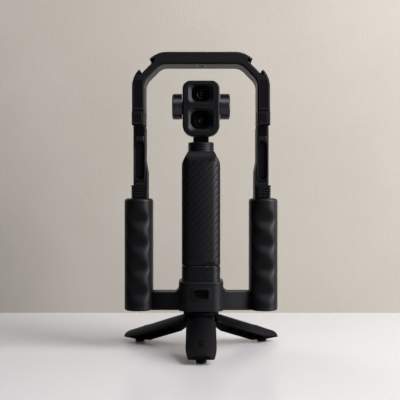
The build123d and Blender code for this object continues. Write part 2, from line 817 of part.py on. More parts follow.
with BuildPart() as bridge_frame:
    with BuildSketch(Plane.XZ) as arch:
        with BuildLine():
            FilletPolyline(
                (-bridge_outer, bridge_bottom),
                (-bridge_outer, lip_line_z),
                (-lip_line_x, bridge_top),
                (lip_line_x, bridge_top),
                (bridge_outer, lip_line_z),
                (bridge_outer, bridge_bottom),
                radius=bridge_round,
            )
            Line((bridge_outer, bridge_bottom), (-bridge_outer, bridge_bottom))
        make_face()
        add(opening, mode=Mode.SUBTRACT)
        with Locations(*shoe_places):
            with Locations((shoe_floor, 0)):
                Rectangle(
                    bridge_corner,
                    shoe_opening,
                    align=(Align.MIN, Align.CENTER),
                    mode=Mode.SUBTRACT,
                )
    extrude(amount=bridge_depth / 2, both=True)
    chamfer(bridge_frame.faces().sort_by(Axis.Y)[0].outer_wire().edges(), bridge_edge)
    chamfer(bridge_frame.faces().sort_by(Axis.Y)[-1].outer_wire().edges(), bridge_edge)
    with BuildSketch(front(-bridge_depth / 2)):
        with Locations(*shoe_places):
            with Locations((shoe_floor, 0)):
                Rectangle(shoe_slot, shoe_width, align=(Align.MIN, Align.CENTER))
    extrude(amount=shoe_stop - bridge_depth, mode=Mode.SUBTRACT)
    with BuildSketch(front(shoe_plate_setback - bridge_depth / 2)):
        with Locations(*shoe_places):
            with Locations((shoe_floor, 0)):
                Rectangle(shoe_plate_thickness, shoe_plate_width, align=(Align.MAX, Align.CENTER))
    extrude(amount=-shoe_plate_length, mode=Mode.SUBTRACT)
    with BuildSketch(Plane.XZ):
        add(liner_seat)
    extrude(amount=liner_width / 2 + liner_shadow, both=True, mode=Mode.SUBTRACT)
    with BuildSketch(Plane.XY.offset(bridge_bottom)):
        with Locations((rail_middle, 0), (-rail_middle, 0)):
            Rectangle(rail_thickness, rail_depth)
    extrude(amount=rail_top - bridge_bottom, mode=Mode.SUBTRACT)
    with BuildSketch(front(-bridge_depth / 2)):
        with Locations(*[(side * rail_middle, (insert_bottom + insert_top) / 2) for side in (1, -1)]):
            RectangleRounded(insert_width, insert_top - insert_bottom, insert_corner)
    extrude(amount=-insert_depth, mode=Mode.SUBTRACT)
    with BuildSketch(front(-bridge_depth / 2)):
        with Locations(*[(side * x, z) for side in (1, -1) for x, z in bridge_screw_places]):
            Circle(screw_head_radius)
    extrude(amount=-insert_depth - screw_head, mode=Mode.SUBTRACT)
    with BuildSketch(front(-bridge_depth / 2)):
        with Locations(*[(side * x, z) for side in (1, -1) for x, z in bridge_screw_places]):
            Circle(screw_radius)
    extrude(amount=-bridge_depth / 2, mode=Mode.SUBTRACT)
    with BuildSketch(Plane.XY.offset(bridge_underside)):
        Circle(bush_radius)
    extrude(amount=bridge_bar, mode=Mode.SUBTRACT)
save(bridge_frame.part, "bridge_frame", cage_lift)

with BuildPart() as bridge_liner:
    with BuildSketch(Plane.XZ):
        add(liner_seat)
        add(opening, mode=Mode.SUBTRACT)
        Rectangle(4 * bridge_outer, 2 * bridge_bottom, mode=Mode.SUBTRACT)
    extrude(amount=liner_width / 2, both=True)
    with BuildSketch(Plane.XY.offset(bridge_underside)):
        Circle(bush_radius)
    extrude(amount=bridge_bar, mode=Mode.SUBTRACT)
save(bridge_liner.part, "bridge_liner", cage_lift)

with BuildPart() as thread_insert:
    with BuildSketch(Plane.XY.offset(bridge_underside)):
        Circle(bush_radius)
        Circle(bush_bore, mode=Mode.SUBTRACT)
    extrude(amount=bridge_bar)
    for ring in (thread_insert.edges().group_by(Axis.Z)[0], thread_insert.edges().group_by(Axis.Z)[-1]):
        chamfer(ring.sort_by(SortBy.LENGTH)[0], bush_mouth)
save(thread_insert.part, "thread_insert", cage_lift)

with BuildPart() as cuff:
    with BuildSketch(Plane.XY.offset(cuff_bottom)):
        with Locations(((bridge_inner + bridge_outer + cuff_lip) / 2, 0)):
            RectangleRounded(bridge_leg + cuff_lip, bridge_depth + 2 * cuff_lip, cuff_corner)
        with Locations((rail_middle, 0)):
            Rectangle(rail_thickness, rail_depth, mode=Mode.SUBTRACT)
    extrude(amount=cuff_height)
    chamfer(cuff.faces().sort_by(Axis.Z)[0].outer_wire().edges(), cuff_edge)
    chamfer(cuff.faces().sort_by(Axis.Z)[-1].outer_wire().edges(), cuff_lip)
save_pair(cuff.part, "cuff")

with BuildPart() as rail:
    with BuildSketch(Plane.XY.offset(rail_bottom)):
        with Locations((rail_middle, 0)):
            Rectangle(rail_thickness, rail_depth)
    extrude(amount=rail_top - rail_bottom)
    chamfer(rail.edges().group_by(Axis.Z)[0], clearance * 2)
    with BuildSketch(front(-rail_depth / 2)):
        with Locations(*bridge_screw_places):
            Circle(screw_radius)
    extrude(amount=-rail_depth / 2, mode=Mode.SUBTRACT)
save_pair(rail.part, "rail")

with BuildPart() as bridge_screws:
    with BuildSketch(front(insert_depth - bridge_depth / 2)):
        with Locations(*[(side * x, z) for side in (1, -1) for x, z in bridge_screw_places]):
            Circle(screw_head_radius)
    extrude(amount=-screw_head)
    with BuildSketch(front(insert_depth + screw_head - bridge_depth / 2)):
        with Locations(*[(side * x, z) for side in (1, -1) for x, z in bridge_screw_places]):
            Circle(screw_radius)
    extrude(amount=-(bridge_depth / 2 - insert_depth - screw_head))
save(bridge_screws.part, "bridge_screws", cage_lift)

with BuildPart() as leg_insert:
    with BuildSketch(front(insert_depth - bridge_depth / 2)):
        with Locations((rail_middle, (insert_bottom + insert_top) / 2)):
            RectangleRounded(insert_width, insert_top - insert_bottom, insert_corner)
    extrude(amount=insert_depth - clearance)
save_pair(leg_insert.part, "leg_insert")

with BuildPart() as shoe_plate:
    with BuildSketch(front(shoe_plate_setback - bridge_depth / 2)):
        with Locations(shoe_places[0]):
            with Locations((shoe_floor, 0)):
                Rectangle(shoe_plate_thickness, shoe_plate_width, align=(Align.MAX, Align.CENTER))
    extrude(amount=-shoe_plate_length)
save_pair(shoe_plate.part, "shoe_plate")

# ================================================================ camera handle
with BuildPart() as adapter:
    with BuildSketch(Plane.XY.offset(collar_floor)):
        RectangleRounded(handle_width, adapter_depth, adapter_corner)
    extrude(amount=handle_bottom - collar_floor)
    chamfer(adapter.edges().group_by(Axis.Z)[-1], adapter_chamfer)
    with BuildSketch(front(-adapter_depth / 2)):
        with Locations((0, window_level)):
            RectangleRounded(port_recess_width, port_recess_height, port_recess_corner)
    extrude(amount=-port_recess_depth, mode=Mode.SUBTRACT)
    with BuildSketch(front(-adapter_depth / 2)):
        with Locations((0, window_level)):
            SlotOverall(port_width, port_height)
    extrude(amount=-port_recess_depth - port_length, mode=Mode.SUBTRACT)
    with BuildSketch(Plane.XY.offset(collar_floor)):
        Circle(thread_bush_radius)
    extrude(amount=thread_bush_length, mode=Mode.SUBTRACT)
save(adapter.part, "adapter", cage_lift)

with BuildPart() as thread_bush:
    with BuildSketch(Plane.XY.offset(collar_floor)):
        Circle(thread_bush_radius)
        Circle(stud_radius + fit, mode=Mode.SUBTRACT)
    extrude(amount=thread_bush_length)
save(thread_bush.part, "thread_bush", cage_lift)

with BuildPart() as usb_port:
    with BuildSketch(front(port_recess_depth - adapter_depth / 2)):
        with Locations((0, window_level)):
            SlotOverall(port_width, port_height)
    extrude(amount=-port_length)
    with BuildSketch(front(port_recess_depth - adapter_depth / 2)):
        with Locations((0, window_level)):
            SlotOverall(port_width - 2 * port_wall, port_height - 2 * port_wall)
            Rectangle(port_tongue_width, port_tongue, mode=Mode.SUBTRACT)
    extrude(amount=port_wall - port_length, mode=Mode.SUBTRACT)
save(usb_port.part, "usb_port", cage_lift)

# skin of the handle that the front panel is let into
with BuildPart() as panel_skin:
    with BuildSketch(Plane.XY.offset(handle_bottom)):
        RectangleRounded(handle_width, handle_depth, handle_corner)
        RectangleRounded(
            handle_width - 2 * panel_thickness,
            handle_depth - 2 * panel_thickness,
            handle_corner - panel_thickness,
            mode=Mode.SUBTRACT,
        )
    extrude(amount=handle_top - handle_bottom)
    with BuildSketch(front(-handle_depth)):
        with Locations((0, (panel_bottom + panel_top) / 2)):
            RectangleRounded(panel_width, panel_top - panel_bottom, panel_corner)
    extrude(amount=-handle_depth, mode=Mode.INTERSECT)

# both halves of the housing in one: a bar with a round top, hollow, with the wells of the controls
with BuildPart() as housing:
    with BuildSketch(Plane.XY.offset(handle_bottom)):
        RectangleRounded(handle_width, handle_depth, handle_corner)
    extrude(amount=handle_top - handle_bottom)
    chamfer(housing.edges().group_by(Axis.Z)[0], adapter_chamfer)
    for view, width, level in (
        (Plane.XZ, handle_width, shoulder_level),
        (Plane.YZ, handle_depth, panel_top),
    ):
        with BuildSketch(view):
            with BuildLine():
                flank = Line((width / 2, 0), (width / 2, level))
                rim = motor_radius + shoulder_margin
                TangentArc(flank @ 1, (rim, handle_top), tangent=(0, 1))
                Line((rim, handle_top), (0, handle_top))
                mirror(about=Plane.YZ)
                Line(flank @ 0, (-width / 2, 0))
            make_face()
        extrude(amount=2 * handle_width, both=True, mode=Mode.INTERSECT)
    with BuildSketch(Plane.XY.offset(cavity_bottom)):
        RectangleRounded(
            handle_width - 2 * handle_wall,
            handle_depth - 2 * handle_wall,
            handle_corner - handle_wall,
        )
        with Locations((0, cavity_back)):
            Rectangle(
                handle_width,
                handle_depth,
                align=(Align.CENTER, Align.MIN),
                mode=Mode.SUBTRACT,
            )
    extrude(amount=cavity_height, mode=Mode.SUBTRACT)
    add(panel_skin.part, mode=Mode.SUBTRACT)
    with BuildSketch(front(handle_depth / 2)):
        with Locations((control_offset, control_level), (-control_offset, control_level)):
            Circle(well_radius)
    extrude(amount=well_depth, mode=Mode.SUBTRACT)
    with BuildSketch(front(handle_depth / 2)):
        with Locations((0, screen_level)):
            Circle(screen_pivot_radius + fit)
    extrude(amount=screen_pivot_depth, mode=Mode.SUBTRACT)

for name, half in (("camera_front", Keep.TOP), ("camera_back", Keep.BOTTOM)):
    with BuildPart() as shell:
        add(housing.part)
        split(bisect_by=Plane.XZ, keep=half)
    save(shell.part, name, cage_lift)

with BuildPart() as front_panel:
    add(panel_skin.part)
    with BuildSketch(front(-handle_depth / 2)):
        with Locations((0, microphone_level)):
            Circle(microphone_radius)
    extrude(amount=-panel_thickness / 2, mode=Mode.SUBTRACT)
save(front_panel.part, "front_panel", cage_lift)

with BuildPart() as battery:
    with Locations((0, battery_inset - handle_depth / 2, cavity_bottom)):
        Box(
            battery_width,
            battery_thickness,
            cavity_height - gap,
            align=(Align.CENTER, Align.MIN, Align.MIN),
        )
    fillet(battery.edges().filter_by(Axis.Z), battery_corner)
save(battery.part, "battery", cage_lift)

with BuildPart() as main_board:
    with Locations((0, cavity_back - gap, cavity_bottom)):
        Box(
            battery_width,
            board_thickness,
            cavity_height - gap,
            align=(Align.CENTER, Align.MAX, Align.MIN),
        )
save(main_board.part, "main_board", cage_lift)

with BuildPart() as screen_frame:
    with BuildSketch(front(handle_depth / 2 + gap)):
        with Locations((0, screen_level)):
            RectangleRounded(screen_width, screen_height, screen_corner)
    extrude(amount=-screen_thickness)
    fillet(screen_frame.faces().sort_by(Axis.Y)[-1].edges(), screen_edge)
    with BuildSketch(front(handle_depth / 2 + gap + screen_thickness)):
        with Locations((0, screen_level)):
            RectangleRounded(
                screen_width - 2 * screen_rim,
                screen_height - 2 * screen_rim,
                screen_corner - screen_rim / 2,
            )
    extrude(amount=glass_thickness, mode=Mode.SUBTRACT)
    with BuildSketch(front(handle_depth / 2 + gap)):
        with Locations((0, screen_level)):
            Circle(screen_pivot_radius)
    extrude(amount=screen_pivot_depth)
save(screen_frame.part, "screen_frame", cage_lift)

with BuildPart() as screen_glass:
    with BuildSketch(front(handle_depth / 2 + gap + screen_thickness)):
        with Locations((0, screen_level)):
            RectangleRounded(
                screen_width - 2 * screen_rim,
                screen_height - 2 * screen_rim,
                screen_corner - screen_rim / 2,
            )
    extrude(amount=glass_thickness)
save(screen_glass.part, "screen_glass", cage_lift)

with BuildPart() as joystick_ring:
    with BuildSketch(front(stick_pivot + stick_ring / 2)):
        with Locations((control_offset, control_level)):
            Circle(well_radius - stick_play)
            Circle(stick_base_radius + stick_play, mode=Mode.SUBTRACT)
    extrude(amount=stick_ring)
save(joystick_ring.part, "joystick_ring", cage_lift)

with BuildPart() as joystick:
    with BuildSketch(Plane.YZ.offset(control_offset)):
        with BuildLine():
            lift = stick_pivot + stick_cap_lift
            Polyline(
                (lift + stick_cap, control_level),
                (stick_pivot - stick_base / 2, control_level),
                (stick_pivot - stick_base / 2, control_level + stick_base_radius),
                (stick_pivot + stick_base / 2, control_level + stick_base_radius),
                (stick_pivot + stick_base / 2, control_level + stick_radius),
                (lift, control_level + stick_radius),
                (lift, control_level + stick_cap_radius),
                (lift + stick_cap / 3, control_level + stick_cap_radius),
            )
            dome(lift + stick_cap / 3, lift + stick_cap, stick_cap_radius, control_level)
        make_face()
    revolve(axis=Axis((control_offset, 0, control_level), (0, 1, 0)))
save(joystick.part, "joystick", cage_lift)

with BuildPart() as record_button:
    with BuildSketch(front(handle_depth / 2 - well_depth + button_travel + clearance / 2)):
        with Locations((-control_offset, control_level)):
            Circle(well_radius - gap)
    extrude(amount=-button_length)
    chamfer(record_button.edges().group_by(Axis.Y)[-1], button_edge)
save(record_button.part, "record_button", cage_lift)

# ================================================================ gimbal
with BuildPart() as pan_motor:
    with BuildSketch(Plane.XY.offset(handle_top)):
        Circle(motor_radius)
    extrude(amount=pan_motor_height)
save(pan_motor.part, "pan_motor", cage_lift)

cap_bottom = handle_top + pan_motor_height + gap
cap_face = cap_bottom + pan_cap_height
with BuildPart() as pan_arm:
    with BuildSketch(Plane.XY.offset(cap_bottom)):
        Circle(motor_radius)
    extrude(amount=pan_cap_height)
    chamfer(pan_arm.edges().group_by(Axis.Z)[-1], pan_cap_edge)
    with BuildSketch(Plane.YZ) as arm_side:
        with BuildLine():
            Polyline(
                (0, cap_bottom),
                (motor_radius + gap, cap_bottom),
                (motor_radius + gap + arm_clearance, cap_bottom - gimbal_arm_drop),
                (arm_reach + gimbal_arm_thickness, cap_bottom - gimbal_arm_drop),
                (arm_reach + gimbal_arm_thickness, tilt_level + roll_motor_radius),
                (arm_reach, tilt_level + roll_motor_radius),
                (arm_reach, cap_face),
                (0, cap_face),
                close=True,
            )
        make_face()
        corners = arm_side.vertices()
        knee = corners.sort_by_distance((arm_reach + gimbal_arm_thickness, cap_bottom))[0]
        fillet(knee, gimbal_arm_bend)
        fillet(arm_side.vertices().sort_by_distance((arm_reach, cap_face))[0], arm_knee)
        fillet(arm_side.vertices().group_by(Axis.Y)[-1], gimbal_arm_thickness / 2.5)
    extrude(amount=gimbal_arm_width / 2, both=True)
save(pan_arm.part, "pan_arm", cage_lift)

with BuildPart() as roll_motor:
    with BuildSketch(front(arm_reach)):
        with Locations((0, tilt_level)):
            Circle(roll_motor_radius)
    extrude(amount=roll_motor_length)
    with BuildSketch(front(arm_reach - roll_motor_length)):
        with Locations((0, tilt_level)):
            Circle(shaft_radius + fit)
    extrude(amount=-shaft_length, mode=Mode.SUBTRACT)
save(roll_motor.part, "roll_motor", cage_lift)

yoke_back = arm_reach - roll_motor_length - gap
with BuildPart() as yoke:
    with BuildSketch(Plane.XY.offset(tilt_level)) as yoke_plan:
        with Locations((0, yoke_back)):
            Rectangle(2 * yoke_reach, yoke_back, align=(Align.CENTER, Align.MAX))
        fillet(yoke_plan.vertices().group_by(Axis.Y)[-1], yoke_thickness)
        with Locations((0, yoke_back - yoke_thickness)):
            Rectangle(2 * yoke_inner, yoke_back, align=(Align.CENTER, Align.MAX), mode=Mode.SUBTRACT)
    extrude(amount=yoke_height / 2, both=True)
    with Locations((0, 0, tilt_level)):
        Cylinder(motor_radius, 4 * yoke_reach, rotation=(0, 90, 0), mode=Mode.SUBTRACT)
    with BuildSketch(front(yoke_back)):
        with Locations((0, tilt_level)):
            Circle(shaft_radius)
    extrude(amount=-(gap + shaft_length - clearance))
save(yoke.part, "yoke", cage_lift)

with BuildPart() as tilt_motor:
    with BuildSketch(Plane.XZ):
        with BuildLine():
            inner = head_width / 2 + motor_gap
            Polyline(
                (inner - shaft_length, tilt_level),
                (inner - shaft_length, tilt_level + shaft_radius),
                (inner, tilt_level + shaft_radius),
                (inner, tilt_level + motor_radius),
                (tilt_motor_reach - motor_seam, tilt_level + motor_radius),
                (tilt_motor_reach - motor_seam, tilt_level + motor_radius - gap),
                (tilt_motor_reach - motor_seam + gap, tilt_level + motor_radius - gap),
                (tilt_motor_reach - motor_seam + gap, tilt_level + motor_radius),
                (tilt_motor_reach - motor_edge, tilt_level + motor_radius),
                (tilt_motor_reach, tilt_level + motor_radius - motor_edge),
                (tilt_motor_reach, tilt_level),
                close=True,
            )
        make_face()
    revolve(axis=Axis((0, 0, tilt_level), (1, 0, 0)))
save_pair(tilt_motor.part, "tilt_motor")

# ================================================================ head
lenses = (
    ("upper", upper_lens_level, upper_bezel_height, upper_window, upper_barrel),
    ("lower", lower_lens_level, lower_bezel_height, lower_window, lower_barrel),
)

with BuildPart() as head_shell:
    with BuildSketch(front(-head_front)) as face:
        with Locations((0, (head_top + head_bottom) / 2)):
            Rectangle(head_width, head_top - head_bottom)
        fillet(face.vertices().group_by(Axis.Y)[-1], head_top_round)
        fillet(face.vertices().group_by(Axis.Y)[0], head_bottom_round)
    extrude(amount=-(head_front + head_back))
    fillet(head_shell.faces().sort_by(Axis.Y)[0].edges(), head_front_edge)
    fillet(head_shell.faces().sort_by(Axis.Y)[-1].edges(), head_back_edge)
    for name, level, height, window, barrel in lenses:
        with BuildSketch(front(-head_front)):
            with Locations((0, level)):
                RectangleRounded(bezel_width, height, bezel_corner)
        extrude(amount=-bezel_depth, mode=Mode.SUBTRACT)
        with BuildSketch(front(bezel_depth - head_front)):
            with Locations((0, level)):
                Circle(barrel_radius)
        extrude(amount=-barrel_length, mode=Mode.SUBTRACT)
    with Locations((0, 0, tilt_level)):
        with Locations((head_width / 2, 0, 0), (-head_width / 2, 0, 0)):
            Cylinder(
                shaft_radius + fit,
                2 * (shaft_length - motor_gap + clearance),
                rotation=(0, 90, 0),
                mode=Mode.SUBTRACT,
            )
save(head_shell.part, "head_shell", cage_lift)

for name, level, height, window, barrel in lenses:
    window_width_back, window_height_back, window_round = window
    with BuildPart() as bezel:
        with BuildSketch(front(-head_front)):
            with Locations((0, level)):
                RectangleRounded(bezel_width, height, bezel_corner)
        extrude(amount=-bezel_depth)
        with BuildSketch(front(-head_front)):
            with Locations((0, level)):
                RectangleRounded(
                    bezel_width - 2 * bezel_rim,
                    height - 2 * bezel_rim,
                    bezel_corner - bezel_rim,
                )
        with BuildSketch(front(bezel_depth - head_front)):
            with Locations((0, level)):
                RectangleRounded(window_width_back, window_height_back, window_round)
        loft(mode=Mode.SUBTRACT)
    save(bezel.part, f"{name}_bezel", cage_lift)

    mouth, seat_radius, seat_front, seat_back = barrel
    barrel_front = bezel_depth - head_front
    with BuildPart() as lens_barrel:
        with BuildSketch(Plane.YZ):
            with BuildLine():
                Polyline(
                    (barrel_front, level + mouth),
                    (barrel_front, level + barrel_radius),
                    (barrel_front + barrel_length, level + barrel_radius),
                    (barrel_front + barrel_length, level),
                    (barrel_front + seat_back, level),
                    (barrel_front + seat_back, level + seat_radius),
                    (barrel_front + seat_front, level + seat_radius),
                    close=True,
                )
            make_face()
        revolve(axis=Axis((0, 0, level), (0, 1, 0)))
    save(lens_barrel.part, f"{name}_lens_barrel", cage_lift)

    with BuildPart() as lens_glass:
        with BuildSketch(Plane.YZ):
            with BuildLine():
                rim_y = barrel_front + seat_front + lens_rim
                bulge = seat_radius * lens_bulge
                Polyline(
                    (rim_y - bulge, level),
                    (barrel_front + seat_back, level),
                    (barrel_front + seat_back, level + seat_radius),
                    (rim_y, level + seat_radius),
                )
                dome(rim_y, rim_y - bulge, seat_radius, level)
            make_face()
        revolve(axis=Axis((0, 0, level), (0, 1, 0)))
    save(lens_glass.part, f"{name}_lens_glass", cage_lift)
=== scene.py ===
import json
import math

import bmesh
import bpy
from mathutils import Matrix, Vector


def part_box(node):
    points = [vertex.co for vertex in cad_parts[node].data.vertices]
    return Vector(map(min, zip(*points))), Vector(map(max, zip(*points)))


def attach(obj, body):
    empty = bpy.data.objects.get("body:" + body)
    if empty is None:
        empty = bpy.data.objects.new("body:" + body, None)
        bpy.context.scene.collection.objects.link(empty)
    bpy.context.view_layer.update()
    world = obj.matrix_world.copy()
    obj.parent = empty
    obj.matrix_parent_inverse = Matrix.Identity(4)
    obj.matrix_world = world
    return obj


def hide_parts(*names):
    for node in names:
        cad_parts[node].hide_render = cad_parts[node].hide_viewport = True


# A two-handed cage for a pocket gimbal camera on a tabletop tripod. Metres; the table is z = 0, the lenses
# look along -Y. The CAD nodes keep their shapes and get materials, and the fine detail is built here.

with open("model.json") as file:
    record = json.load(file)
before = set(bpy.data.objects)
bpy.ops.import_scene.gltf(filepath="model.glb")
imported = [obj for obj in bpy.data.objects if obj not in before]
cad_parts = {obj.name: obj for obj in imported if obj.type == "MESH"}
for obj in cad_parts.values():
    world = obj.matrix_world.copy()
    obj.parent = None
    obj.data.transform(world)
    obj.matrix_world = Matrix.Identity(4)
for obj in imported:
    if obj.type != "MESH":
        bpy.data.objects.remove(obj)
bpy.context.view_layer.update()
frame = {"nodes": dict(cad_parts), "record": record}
nodes = frame["nodes"]

MM = 0.001
AXIS_Y = (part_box("stud")[0].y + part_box("stud")[1].y) / 2     # the cage's main axis

# ---------------------------------------------------------------- camera
EYE_DISTANCE = 0.712         # from the main axis to the lens
EYE_HEIGHT = 0.1356
EYE_SIDE = -0.0009
EYE_DROP = math.radians(0.56)        # how far the view points below level
LENS = 73.6                  # millimetres, as is the sensor's width

camera_data = bpy.data.cameras.new("camera")
camera_data.lens = LENS
camera_data.sensor_width = 36.0
camera_data.clip_start = 0.01
camera_data.clip_end = 20.0
camera = bpy.data.objects.new("camera", camera_data)
camera.location = (EYE_SIDE, AXIS_Y - EYE_DISTANCE, EYE_HEIGHT)
camera.rotation_euler = (math.pi / 2 - EYE_DROP, 0, 0)
bpy.context.scene.collection.objects.link(camera)
bpy.context.scene.camera = camera
bpy.context.scene.view_settings.view_transform = "Standard"

# ---------------------------------------------------------------- materials
# the stripes' profile, as (place in a pitch, height)
STRIPE_TOOTH = ((0.12, 0.75), (0.42, 1.0), (0.5, 0.55), (0.6, 0.9), (0.86, 0.7))
STRIPE_SLOPE = 0.95
STRIPE_PITCH = 6.0           # millimetres
MOTTLE_SPAN = (0.32, 0.68)   # noise between which the colour goes from dark to light
GLOSS_SPAN = (0.3, 0.7)      # noise between which the roughness goes from its first value to its second
GRAIN_STRENGTH = 0.6
FILM_GRAIN = 6.0             # millimetres
FILM_SPREAD = 2.5            # the roughest of the film as a multiple of its smoothest


def new_material(name):
    """A material with its Principled shader, and a maker of further nodes in it."""
    material = bpy.data.materials.new(name)
    material.use_nodes = True
    tree = material.node_tree
    shader = tree.nodes["Principled BSDF"]

    def node(kind, **values):
        made = tree.nodes.new(kind)
        for key, value in values.items():
            if key in made.inputs:
                made.inputs[key].default_value = value
            else:
                setattr(made, key, value)
        return made

    return material, shader, node, tree.links.new


def crowned(node, link, place, crown):
    """The normal of a face shaded as if slightly domed: it turns outward by crown per metre of x."""
    split = node("ShaderNodeSeparateXYZ")
    link(place, split.inputs["Vector"])
    lean = node("ShaderNodeMath", operation="MULTIPLY")
    lean.inputs[1].default_value = crown
    link(split.outputs["X"], lean.inputs[0])
    side = node("ShaderNodeCombineXYZ")
    link(lean.outputs["Value"], side.inputs["X"])
    turn = node("ShaderNodeVectorTransform", vector_type="VECTOR", convert_from="OBJECT", convert_to="WORLD")
    link(side.outputs["Vector"], turn.inputs["Vector"])
    total = node("ShaderNodeVectorMath", operation="ADD")
    link(node("ShaderNodeNewGeometry").outputs["Normal"], total.inputs[0])
    link(turn.outputs["Vector"], total.inputs[1])
    unit = node("ShaderNodeVectorMath", operation="NORMALIZE")
    link(total.outputs["Vector"], unit.inputs[0])
    return unit.outputs["Vector"]


def striped(node, link, place):
    """The height of moulded diagonal stripes that climb towards +X."""
    split = node("ShaderNodeSeparateXYZ")
    link(place, split.inputs["Vector"])
    rise = node("ShaderNodeMath", operation="MULTIPLY_ADD")
    rise.inputs[1].default_value = -STRIPE_SLOPE
    link(split.outputs["X"], rise.inputs[0])
    link(split.outputs["Z"], rise.inputs[2])
    along = node("ShaderNodeMath", operation="MULTIPLY")
    along.inputs[1].default_value = 1 / (STRIPE_PITCH * MM)
    link(rise.outputs["Value"], along.inputs[0])
    saw = node("ShaderNodeMath", operation="FRACT")
    link(along.outputs["Value"], saw.inputs[0])
    tooth = node("ShaderNodeValToRGB")
    tooth.color_ramp.elements[0].position = 0.0
    tooth.color_ramp.elements[0].color = (0, 0, 0, 1)
    tooth.color_ramp.elements[1].position = 1.0
    tooth.color_ramp.elements[1].color = (0, 0, 0, 1)
    for position, level in STRIPE_TOOTH:
        tooth.color_ramp.elements.new(position).color = (level, level, level, 1)
    link(saw.outputs["Value"], tooth.inputs["Fac"])
    return tooth.outputs["Color"]


def surface(name, dark, light, rough, grain, bump, mottle=18.0, metallic=0.0, spec=0.35, crown=0.0,
            stripes=0.0):
    """Moulded or anodised skin: mottled colour, uneven gloss and a fine grain. Grain, mottle, and the depths
    bump and stripes are in millimetres; crown is as in crowned()."""
    material, shader, node, link = new_material(name)
    place = node("ShaderNodeTexCoord").outputs["Object"]
    blotch = node("ShaderNodeTexNoise", Scale=1 / (mottle * MM), Detail=4.0, Roughness=0.6)
    fine = node("ShaderNodeTexNoise", Scale=1 / (grain * MM), Detail=3.0, Roughness=0.55)
    link(place, blotch.inputs["Vector"])
    link(place, fine.inputs["Vector"])
    ramp = node("ShaderNodeValToRGB")
    ramp.color_ramp.elements[0].position = MOTTLE_SPAN[0]
    ramp.color_ramp.elements[1].position = MOTTLE_SPAN[1]
    ramp.color_ramp.elements[0].color = (*dark, 1)
    ramp.color_ramp.elements[1].color = (*light, 1)
    link(blotch.outputs["Fac"], ramp.inputs["Fac"])
    link(ramp.outputs["Color"], shader.inputs["Base Color"])
    gloss = node("ShaderNodeMapRange")
    gloss.inputs["From Min"].default_value = GLOSS_SPAN[0]
    gloss.inputs["From Max"].default_value = GLOSS_SPAN[1]
    gloss.inputs["To Min"].default_value = rough[0]
    gloss.inputs["To Max"].default_value = rough[1]
    link(fine.outputs["Fac"], gloss.inputs["Value"])
    link(gloss.outputs["Result"], shader.inputs["Roughness"])

    def raised(height, strength, depth, normal):
        made = node("ShaderNodeBump", Strength=strength, Distance=depth * MM)
        link(height, made.inputs["Height"])
        if normal:
            link(normal, made.inputs["Normal"])
        return made.outputs["Normal"]

    normal = crowned(node, link, place, crown) if crown else None
    if stripes:
        normal = raised(striped(node, link, place), 1.0, stripes, normal)
    if bump:
        normal = raised(fine.outputs["Fac"], GRAIN_STRENGTH, bump, normal)
    if normal:
        link(normal, shader.inputs["Normal"])
    shader.inputs["Metallic"].default_value = metallic
    shader.inputs["Specular IOR Level"].default_value = spec
    return material


def glass_face(name, colour, rough, coat=1.0, tint=(1, 1, 1)):
    """Dark coated glass over a black ground, with a faint film of uneven gloss."""
    material, shader, node, link = new_material(name)
    place = node("ShaderNodeTexCoord").outputs["Object"]
    film = node("ShaderNodeTexNoise", Scale=1 / (FILM_GRAIN * MM), Detail=2.0)
    link(place, film.inputs["Vector"])
    gloss = node("ShaderNodeMapRange")
    gloss.inputs["To Min"].default_value = rough
    gloss.inputs["To Max"].default_value = rough * FILM_SPREAD
    link(film.outputs["Fac"], gloss.inputs["Value"])
    link(gloss.outputs["Result"], shader.inputs["Roughness"])
    shader.inputs["Base Color"].default_value = (*colour, 1)
    shader.inputs["IOR"].default_value = 1.6
    shader.inputs["Specular Tint"].default_value = (*tint, 1)
    shader.inputs["Coat Weight"].default_value = coat
    return material


BLACK = (.0030, .0027, .0042)
INK = (.0044, .0040, .0060)
RUBBER = (.0018, .0016, .0025)
RUBBER_WORN = (.0028, .0025, .0038)
FRAME = (.0058, .0053, .0070)
FRAME_WORN = (.0070, .0064, .0084)
GREY = (.0055, .0053, .0068)
GREY_WORN = (.0075, .0072, .0092)
